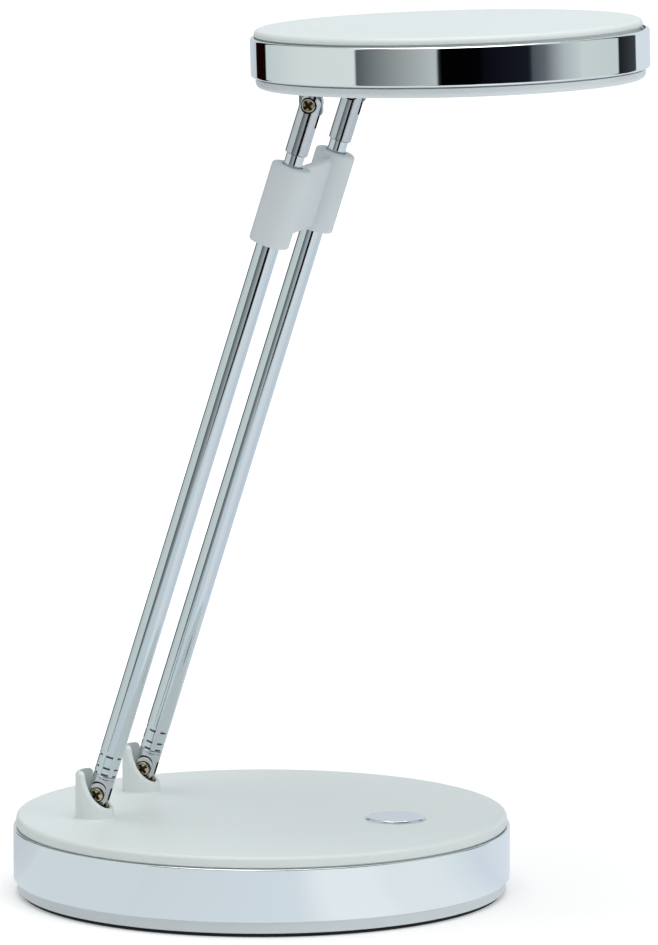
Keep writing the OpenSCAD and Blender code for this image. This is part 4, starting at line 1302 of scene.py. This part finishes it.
    def build_block(self) -> None:
        """Cross block: two barrels with soft ends, bored for the tubes, and a web between them."""
        top, low, r = self.block_top, self.block_low, self.barrel_r
        low_edge, top_edge = self.barrel_low_edge, self.barrel_top_edge
        outline = [(self.block_bore_r, low)]
        outline += arc((r - low_edge, low + low_edge), low_edge, -90, 0)
        outline += arc((r - top_edge, top - top_edge), top_edge, 0, 90, FINE)
        outline += [(self.guide_r, top), (self.guide_r, top - self.guide_l),
                    (self.block_bore_r, top - self.guide_l)]
        front = turned("barrel", outline, segments=MEDIUM, closed=True)
        rear = copied(front, "barrel_rear")
        front.location.y, rear.location.y = (side.value * self.arm_y for side in Side)
        height = top - low - self.web_low - self.web_high
        length = 2 * (self.arm_y - r + self.web_lap)
        web = box_tool((0, 0, low + self.web_low + height / 2), (self.web_t, length, height))
        settle(web)
        soften(web, self.web_edge, MODEST)
        for part in (front, rear):
            settle(part)
        deliver(joined("cross_block_piece", front, rear, web), ("cross_block",), BLOCK_ABS,
                where=self.at())


@dataclass
class Head:
    """Round light head: cover, bright ring, housing with the light window, and the opal window."""

    reach: float = 36.4
    tilt_deg: float = 1.6
    radius: float = 59.2
    ring_low: float = 7.8
    ring_high: float = 19.5
    ring_wall: float = 1.2
    ring_edge: float = 0.8
    cover_r: float = 57.6
    cover_neck: float = 56.7
    neck_low: float = 17.8
    cover_low: float = 20.1
    cover_top: float = 22.04
    cover_plate: float = 1.8
    cover_edge: float = 1.4
    cover_flat: float = 0.8
    spigot_low: float = 17.1
    shell_r: float = 57.7
    groove_r: float = 56.5
    shell_t: float = 1.6
    wall_top: float = 16.8
    rim_low: float = 4.6
    rim_r: float = 57.8
    rim_edge: float = 1.6
    floor_top: float = 6.8
    window_r: float = 35.0
    window_lip: float = 2.0
    window_lip_t: float = 1.1
    window_gap: float = 0.3
    window_edge: float = 0.3
    window_faces: int = 192
    window_chamfer: float = 0.4
    rim_groove: float = 0.45
    askew_deg: float = 0.25
    askew_shift: float = -0.4
    arm_y: float = ARM_Y
    lug_slot: tuple[float, float, float] = (7.4, 2.0, 8.0)
    screw_r: float = 51.9
    screw_hole_r: float = 2.4
    screw_hole_deep: float = 1.5
    screw_angles: tuple[float, ...] = (20.0, 100.0, 260.0, 340.0)

    def at(self) -> Matrix:
        """Place of the head's middle axis in the frame, in millimetres."""
        hinge = Vector(JOINTS["head_tilt"]["pos_m"]) / MM
        return (Matrix.Translation(hinge) @ Matrix.Rotation(math.radians(-self.tilt_deg), 4, "Y")
                @ Matrix.Translation((self.reach, 0, 0)))

    def build(self) -> None:
        """Builds every visible piece of the head."""
        self.build_cover()
        bright_ring_piece("head_bright_ring", self.radius, self.ring_low, self.ring_high,
                          self.ring_wall, self.ring_edge, ("head_ring",), where=self.at())
        self.build_housing()
        self.build_window()

    def build_cover(self) -> None:
        """Cover plate with a soft edge and a spigot, a little loose and askew in the ring."""
        under = self.cover_top - self.cover_plate
        inner_r = self.shell_r - self.shell_t
        outline = [(inner_r, under), (inner_r, self.spigot_low), (self.shell_r, self.spigot_low),
                   (self.shell_r, self.neck_low), (self.cover_neck, self.neck_low),
                   (self.cover_neck, self.cover_low), (self.cover_r, self.cover_low)]
        outline += soft_top(self.cover_r, self.cover_top, self.cover_edge, self.cover_flat)
        loose = (Matrix.Translation((self.askew_shift, 0, self.cover_low))
                 @ Matrix.Rotation(math.radians(-self.askew_deg), 4, "Y")
                 @ Matrix.Translation((0, 0, -self.cover_low)))
        deliver(turned("head_cover_plate", outline), ("head_cover",), COVER_ABS,
                where=self.at() @ loose)

    def build_housing(self) -> None:
        """Housing with a rounded rim, the window's opening, slots for the lugs and screw holes."""
        inner_r = self.shell_r - self.shell_t
        seat = self.floor_top - self.window_lip_t
        chamfer, groove_low = self.window_chamfer, self.ring_low - self.rim_groove
        outline = [(self.window_r, self.rim_low + chamfer), (self.window_r + chamfer, self.rim_low)]
        outline += arc((self.rim_r - self.rim_edge, self.rim_low + self.rim_edge),
                       self.rim_edge, -90, 0, FINE)
        outline += [(self.rim_r, groove_low), (self.groove_r, groove_low),
                    (self.groove_r, self.ring_low), (self.shell_r, self.ring_low),
                    (self.shell_r, self.wall_top), (inner_r, self.wall_top),
                    (inner_r, self.floor_top),
                    (self.window_r + self.window_lip, self.floor_top),
                    (self.window_r + self.window_lip, seat), (self.window_r, seat)]
        housing = turned("head_rim_housing", outline, closed=True)
        tools = [box_tool((-self.reach, side.value * self.arm_y, self.rim_low), self.lug_slot)
                 for side in Side]
        for angle in map(math.radians, self.screw_angles):
            spot = (self.screw_r * math.cos(angle), self.screw_r * math.sin(angle), self.rim_low)
            tools += [rod_tool(spot, self.screw_hole_r, 2 * self.screw_hole_deep, segments=TINY)]
        carve(housing, *tools)
        # the rim's greyer tone is painted shade
        deliver(housing, ("head_housing",), HOUSING_ABS_SHADED, where=self.at())

    def build_window(self) -> None:
        """Opal window, flush in the housing, with its lip behind."""
        r, low = self.window_r - self.window_gap, self.rim_low + self.window_gap
        seat, edge = self.floor_top - self.window_lip_t, self.window_edge
        outline = [(r - 2 * edge, low)] + arc((r - edge, low + edge), edge, -90, 0, ROUGH)
        outline += [(r, seat), (r + self.window_lip, seat), (r + self.window_lip, self.floor_top)]
        window = turned("opal_window", outline, segments=self.window_faces)
        deliver(window, ("diffuser",), OPAL, where=self.at())


# Studio


@dataclass(frozen=True)
class Panel:
    """A stretch of the screen round the set, as seen in the bright metal.

    Angles run in degrees from the camera's side, to the right in the picture. Levels are sRGB hex.
    """

    start: float
    end: float
    first: str
    last: str


@dataclass(frozen=True)
class Softbox:
    """A square soft lamp, aimed at the object. Place and size are in metres, power in watts."""

    name: str
    place: tuple[float, float, float]
    size: float
    watts: float
    mirrored: bool


@dataclass
class Studio:
    """Floor, lamps, reflecting screen and camera, in metres.

    The panels stand on the screen, and the cloths lie on the floor within it. Both show in bright
    metal alone.
    """

    camera_at: tuple[float, float, float] = (0.650747, -2.204040, 0.446799)
    camera_way: tuple[float, float, float] = (-0.272058, 0.952392, -0.137599)
    focal_px: float = 7725.15
    picture_px: tuple[int, int] = (658, 945)
    sensor_mm: float = 36.0
    clip: tuple[float, float] = (0.05, 60.0)
    floor_size: float = 40.0
    floor_colour: str = "F4F5F5"
    ambient: float = 0.43
    lift_near: float = 0.26
    lift_far: float = 0.66
    lift_from: float = 0.12
    lift_to: float = 0.7
    screen_r: float = 0.6
    screen_h: float = 1.2
    screen_x: float = 0.058
    screen_faces: int = 180
    lamps_aim: tuple[float, float, float] = (0.0, 0.0, 0.1)
    lamps: tuple[Softbox, ...] = (
        Softbox("overhead_softbox", (0.1, -0.3, 2.8), 2.3, 42.0, True),
        Softbox("side_softbox", (1.8, -0.7, 0.8), 1.2, 7.0, False),
    )
    panels: tuple[Panel, ...] = (
        Panel(-180.0, -146.0, "D4DBE2", "C6CED6"),
        Panel(-145.5, -129.0, "180602", "100301"),
        Panel(-128.5, -92.0, "C6D1D0", "DAE1DE"),
        Panel(-91.5, -54.5, "DBE2DF", "DDE4E1"),
        Panel(-54.0, -7.5, "555A5C", "BEC4C4"),
        Panel(-7.0, 16.0, "020202", "030305"),
        Panel(17.0, 43.5, "0B0A13", "181A24"),
        Panel(44.0, 52.5, "4A4F56", "686D71"),
        Panel(53.0, 64.0, "6C7175", "B2BABC"),
        Panel(64.5, 76.0, "B4BCBE", "CCD4D3"),
        Panel(76.5, 107.0, "D1DAD8", "CCD5D3"),
        Panel(107.5, 128.3, "1B1E22", "40444A"),
        Panel(128.8, 180.0, "DEE6ED", "D6DEE5"),
    )
    cloths: tuple[Panel, ...] = (
        Panel(-180.0, -125.0, "CFD6DC", "C7CED5"),
        Panel(-124.0, -100.0, "C7CED5", "D2D9DE"),
        Panel(-99.0, -43.0, "D7DFE3", "D7DFE3"),
        Panel(-42.0, 12.0, "D5DDE2", "DCE5EA"),
        Panel(22.0, 40.0, "EFF4F6", "EFF4F6"),
        Panel(46.0, 68.0, "EAEFF2", "EAEFF2"),
        Panel(81.0, 93.0, "E1E9EE", "D8E0E9"),
        Panel(105.0, 180.0, "DCE4EC", "DCE4EC"),
    )
    far_cloths: tuple[Panel, ...] = (
        Panel(-180.0, -54.5, "D7DFE3", "DDE4E1"),
        Panel(-54.0, -7.5, "555A5C", "BEC4C4"),
        Panel(-7.0, 18.0, "020202", "0B0A13"),
        Panel(20.0, 68.0, "EAEFF2", "EAEFF2"),
        Panel(81.0, 180.0, "E1E9EE", "DCE4EC"),
    )
    cloth_end: tuple[float, float] = (0.43, 0.50)

    def build(self) -> None:
        """Sets up the whole studio."""
        self.build_camera()
        self.build_world()
        self.build_floor()
        self.build_screen()
        self.build_lamps()

    def build_camera(self) -> None:
        """Camera where the photograph was taken from."""
        clear_selection()
        way = Vector(self.camera_way)
        bpy.ops.object.camera_add(location=self.camera_at,
                                  rotation=way.to_track_quat("-Z", "Y").to_euler())
        camera = bpy.context.object
        camera.data.sensor_width = self.sensor_mm
        camera.data.lens = self.sensor_mm * self.focal_px / max(self.picture_px)
        camera.data.clip_start, camera.data.clip_end = self.clip
        bpy.context.scene.camera = camera
        bpy.context.scene.view_settings.view_transform = "Standard"

    def build_world(self) -> None:
        """World that is white where it is seen, and gives an even sky to dull surfaces."""
        world = bpy.data.worlds.new("white_studio")
        bpy.context.scene.world = world
        tree = bare_tree(world)
        path = add_node(tree, "ShaderNodeLightPath").outputs
        seen = add_node(tree, "ShaderNodeMath", {
            0: path["Is Camera Ray"], 1: path["Is Glossy Ray"]}, operation="ADD").outputs[0]
        seen = add_node(tree, "ShaderNodeMath", {0: seen, 1: path["Is Transmission Ray"]},
                        operation="ADD", use_clamp=True).outputs[0]
        strength = add_node(tree, "ShaderNodeMapRange", {
            "Value": seen, "To Min": self.ambient, "To Max": 1.0}).outputs[0]
        sky = add_node(tree, "ShaderNodeBackground", {"Color": (1, 1, 1, 1), "Strength": strength})
        add_node(tree, "ShaderNodeOutputWorld", {"Surface": sky.outputs[0]})

    def ring_of(self, tree: bpy.types.NodeTree, panels: tuple[Panel, ...]) -> bpy.types.NodeSocket:
        """Lays panels round the set in a material.

        Args:
            tree: node tree that takes the nodes.
            panels: the panels, from -180 to 180 degrees.

        Returns:
            The colour output.
        """
        facing = math.atan2(-self.camera_way[1], -self.camera_way[0])
        place = add_node(tree, "ShaderNodeTexCoord").outputs["Object"]
        turned_place = add_node(tree, "ShaderNodeVectorRotate", {
            "Vector": place, "Angle": -facing}, rotation_type="Z_AXIS").outputs[0]
        share = add_node(tree, "ShaderNodeTexGradient", {"Vector": turned_place},
                         gradient_type="RADIAL").outputs["Fac"]
        ramp = add_node(tree, "ShaderNodeValToRGB", {"Fac": share})
        stops = ramp.color_ramp.elements
        while len(stops) > 1:
            stops.remove(stops[-1])
        edges = [(p.start, p.first) for p in panels] + [(p.end, p.last) for p in panels]
        for number, (angle, level) in enumerate(sorted(edges)):
            stop = stops.new(0.5 + angle / 360) if number else stops[0]
            stop.position = 0.5 + angle / 360
            stop.color = linear(level)
        return ramp.outputs[0]

    def build_floor(self) -> None:
        """Pale floor that keeps the lamp's shadow.

        The camera sees it lifted to white. Bright metal sees the near cloths on it as far as
        cloth_end and the far cloths beyond.
        """
        clear_selection()
        bpy.ops.mesh.primitive_plane_add(size=self.floor_size)
        floor = bpy.context.object
        floor.name = "studio_floor"
        paint = bpy.data.materials.new("floor_paint_matt_white")
        tree = bare_tree(paint)
        path = add_node(tree, "ShaderNodeLightPath").outputs
        dull = add_node(tree, "ShaderNodeBsdfDiffuse", {"Color": linear(self.floor_colour)})
        place = add_node(tree, "ShaderNodeTexCoord").outputs["Object"]
        away = add_node(tree, "ShaderNodeVectorMath", {0: place},
                        operation="LENGTH").outputs["Value"]
        rise = add_node(tree, "ShaderNodeMapRange", {
            "Value": away, "From Min": self.lift_from, "From Max": self.lift_to,
            "To Min": self.lift_near, "To Max": self.lift_far}).outputs[0]
        lift = add_node(tree, "ShaderNodeMath", {0: path["Is Camera Ray"], 1: rise},
                        operation="MULTIPLY").outputs[0]
        glow = add_node(tree, "ShaderNodeEmission", {"Color": (1, 1, 1, 1), "Strength": lift})
        both = add_node(tree, "ShaderNodeAddShader", {0: dull.outputs[0], 1: glow.outputs[0]})
        beyond = add_node(tree, "ShaderNodeMapRange", {
            "Value": away, "From Min": self.cloth_end[0], "From Max": self.cloth_end[1]}).outputs[0]
        laid = blend(tree, beyond, self.ring_of(tree, self.cloths),
                     self.ring_of(tree, self.far_cloths))
        shown = add_node(tree, "ShaderNodeEmission", {"Color": laid, "Strength": 1.0})
        whole = add_node(tree, "ShaderNodeMixShader", {
            0: path["Is Glossy Ray"], 1: both.outputs[0], 2: shown.outputs[0]})
        add_node(tree, "ShaderNodeOutputMaterial", {"Surface": whole.outputs[0]})
        floor.data.materials.append(paint)

    def build_screen(self) -> None:
        """Screen of pale and dark panels round the set, which shows in bright metal alone."""
        clear_selection()
        bpy.ops.mesh.primitive_cylinder_add(vertices=self.screen_faces, radius=self.screen_r,
                                            depth=self.screen_h, end_fill_type="NOTHING",
                                            location=(0, 0, self.screen_h / 2))
        screen = bpy.context.object
        screen.name = "studio_screen"
        bpy.ops.object.transform_apply(location=True)
        screen.location.x = self.screen_x
        cloth = bpy.data.materials.new("screen_cloth_panels")
        tree = bare_tree(cloth)
        glow = add_node(tree, "ShaderNodeEmission", {
            "Color": self.ring_of(tree, self.panels), "Strength": 1.0})
        add_node(tree, "ShaderNodeOutputMaterial", {"Surface": glow.outputs[0]})
        screen.data.materials.append(cloth)
        screen.visible_camera = screen.visible_diffuse = screen.visible_shadow = False
        screen.visible_transmission = screen.visible_volume_scatter = False

    def build_lamps(self) -> None:
        """Overhead soft light and a weaker one from the right."""
        for softbox in self.lamps:
            clear_selection()
            way = Vector(self.lamps_aim) - Vector(softbox.place)
            bpy.ops.object.light_add(type="AREA", location=softbox.place,
                                     rotation=way.to_track_quat("-Z", "Y").to_euler())
            lamp = bpy.context.object
            lamp.name = softbox.name
            lamp.data.size = softbox.size
            lamp.data.energy = softbox.watts
            lamp.visible_glossy = softbox.mirrored


def dress_cad_nodes() -> None:
    """Gives every CAD node that still shows the finish of its real material."""
    for name, finish in CAD_FINISHES.items():
        node = frame["nodes"][name]
        if not node.material_slots:
            node.data.materials.append(finish.material())
        for slot in node.material_slots:
            slot.material = finish.material()
        LOG.info("%s dressed as %s", name, finish.name)


def main() -> None:
    """Builds the lamp and its studio."""
    logging.basicConfig(level=logging.INFO, format="%(name)s: %(message)s")
    Studio().build()
    Base().build()
    Arms().build()
    Head().build()
    dress_cad_nodes()
    bpy.context.view_layer.update()


if __name__ == "__main__":
    main()
